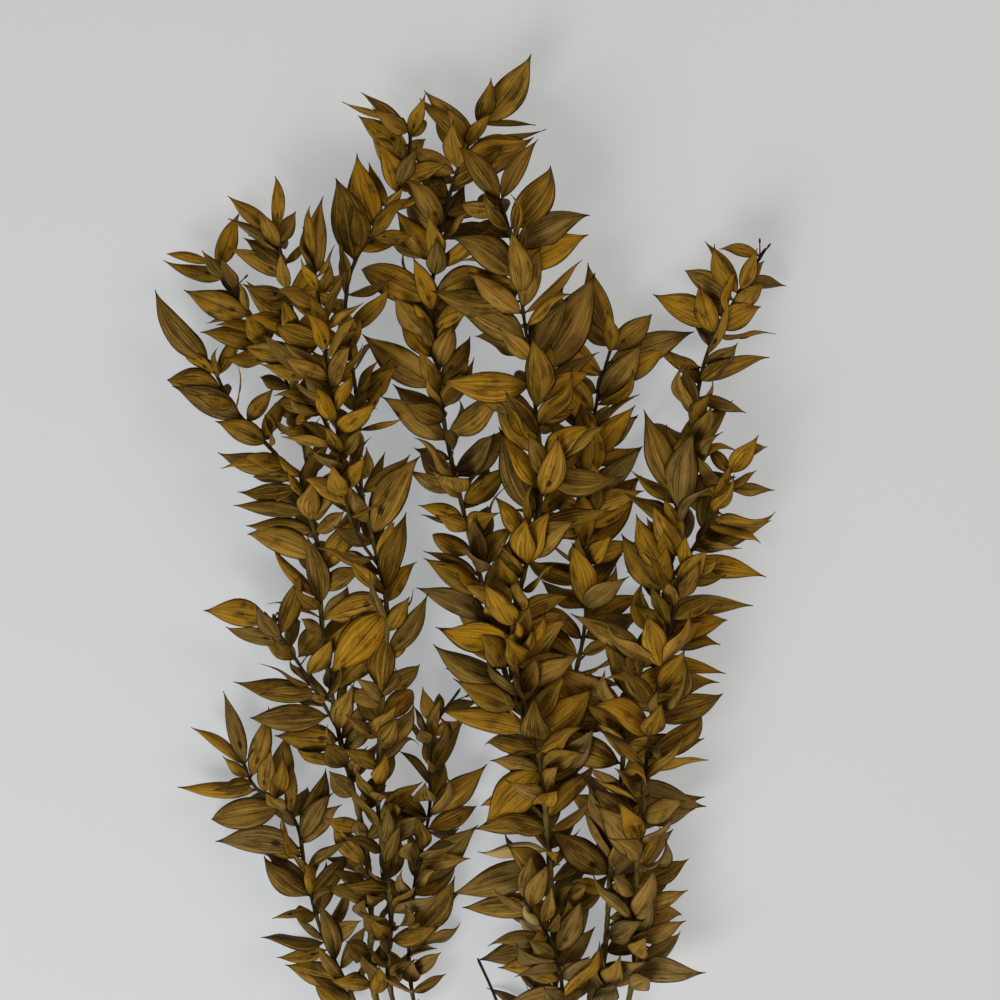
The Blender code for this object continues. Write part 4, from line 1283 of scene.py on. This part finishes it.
# %% [markdown]
# Each stem becomes two pieces, its leaves and its wood, which stand for the plain solid in the frame. Both
# ride on the one body that the row has. One object for each leaf would make a list of almost a thousand.

# %% Dress every stem
for node in dict.fromkeys(branch["node"] for branch in BRANCHES.values()):
    leaves_pile = Pile("across", "along", "tone", "fade", "scar", "pale")
    wood_pile = Pile("thick", "around", "run")
    for name in [n for n in BRANCHES if BRANCHES[n]["node"] == node]:
        spots = [dress_leaf(name, k, leaf, leaves_pile, wood_pile)
                 for k, leaf in enumerate(grown.get(name, []))]
        dress_branch(name, spots, wood_pile)
    for pile, suffix, finish, slot_name in ((leaves_pile, "leaves", leaf_finish, "dry_leaf"),
                                            (wood_pile, "wood", bark_finish, "dry_wood")):
        piece = pile.build(f"{node}_{suffix}", finish)
        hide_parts(node)
        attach(piece, "root")

# %% [markdown]
# The surface is plain and pale, like the wall behind the real stems. It is part of the set and not of the
# object. It glows a little, like a light table, so that the shadows on it stay faint.

# %% Floor
FLOOR_SIZE = 14.0
FLOOR_DROP = 0.0004
FLOOR_LOOK = {"Base Color": (0.24, 0.24, 0.235, 1.0), "Roughness": 0.9, "Specular IOR Level": 0.1,
              "Emission Color": (0.97, 0.99, 1.0, 1.0), "Emission Strength": 0.35}


def floor_piece():
    mesh = bpy.data.meshes.new("floor")
    corners = [(x * FLOOR_SIZE / 2, y * FLOOR_SIZE / 2, -FLOOR_DROP)
               for x, y in ((-1, -1), (1, -1), (1, 1), (-1, 1))]
    mesh.from_pydata(corners, [], [(0, 1, 2, 3)])
    made, shader, _ = blank_material("pale floor")
    for key, value in FLOOR_LOOK.items():
        shader.inputs[key].default_value = value
    mesh.materials.append(made)
    return put("floor", mesh)


floor_piece()
print("floor", FLOOR_SIZE, "m wide")

# %% [markdown]
# Soft studio light: a wide cool box low on the left, where the wall is brightest in the photograph, a
# weaker warm one high on the right, and an even surround that keeps the shadows on the surface faint.

# %% Lights
# Name, place, what it looks at, side, power and colour
BOXES = (("key", (-1.1, -1.6, 2.1), (0.0, -0.1, 0.0), 1.5, 92.0, (0.93, 0.97, 1.0)),
         ("fill", (1.7, 1.5, 2.0), (0.1, 0.2, 0.0), 1.6, 40.0, (1.0, 0.90, 0.72)))
SURROUND = {"Color": (0.95, 0.97, 1.0, 1.0), "Strength": 0.17}

for box_name, spot, aim, size, power, colour in BOXES:
    light = bpy.data.lights.new(box_name, "AREA")
    light.shape, light.size, light.energy, light.color = "SQUARE", size, power, colour
    thing = put(box_name, light)
    thing.location = spot
    thing.rotation_mode = "QUATERNION"
    thing.rotation_quaternion = (Vector(aim) - Vector(spot)).to_track_quat("-Z", "Y")
world = bpy.data.worlds.new("surround")
world.use_nodes = True
for key, value in SURROUND.items():
    world.node_tree.nodes["Background"].inputs[key].default_value = value
bpy.context.scene.world = world
bpy.context.scene.view_settings.view_transform = "Standard"
print("lights", [box[0] for box in BOXES])

# %% [markdown]
# The camera looks straight down with the tips up in the picture, as the photograph looks straight at the
# upright stems. One pixel of the photograph is 0.8 mm at the leaves, so the picture is 0.8 m wide there.

# %% Camera
PICTURE_WIDTH = 0.800
PICTURE_MIDDLE = 400.0
CAMERA_HEIGHT = 2.4
LEAF_HEIGHT = 0.045
SENSOR = 36.0
camera_data = bpy.data.cameras.new("camera")
camera_data.sensor_width = SENSOR
camera_data.lens = SENSOR * (CAMERA_HEIGHT - LEAF_HEIGHT) / PICTURE_WIDTH
camera = put("camera", camera_data)
camera.location = (SHIFT[0] * MM, (SHIFT[1] + PICTURE_MIDDLE) * MM, CAMERA_HEIGHT)
bpy.context.scene.camera = camera
print("lens", round(camera_data.lens, 1), "mm")

# %% [markdown]

# %% [markdown]
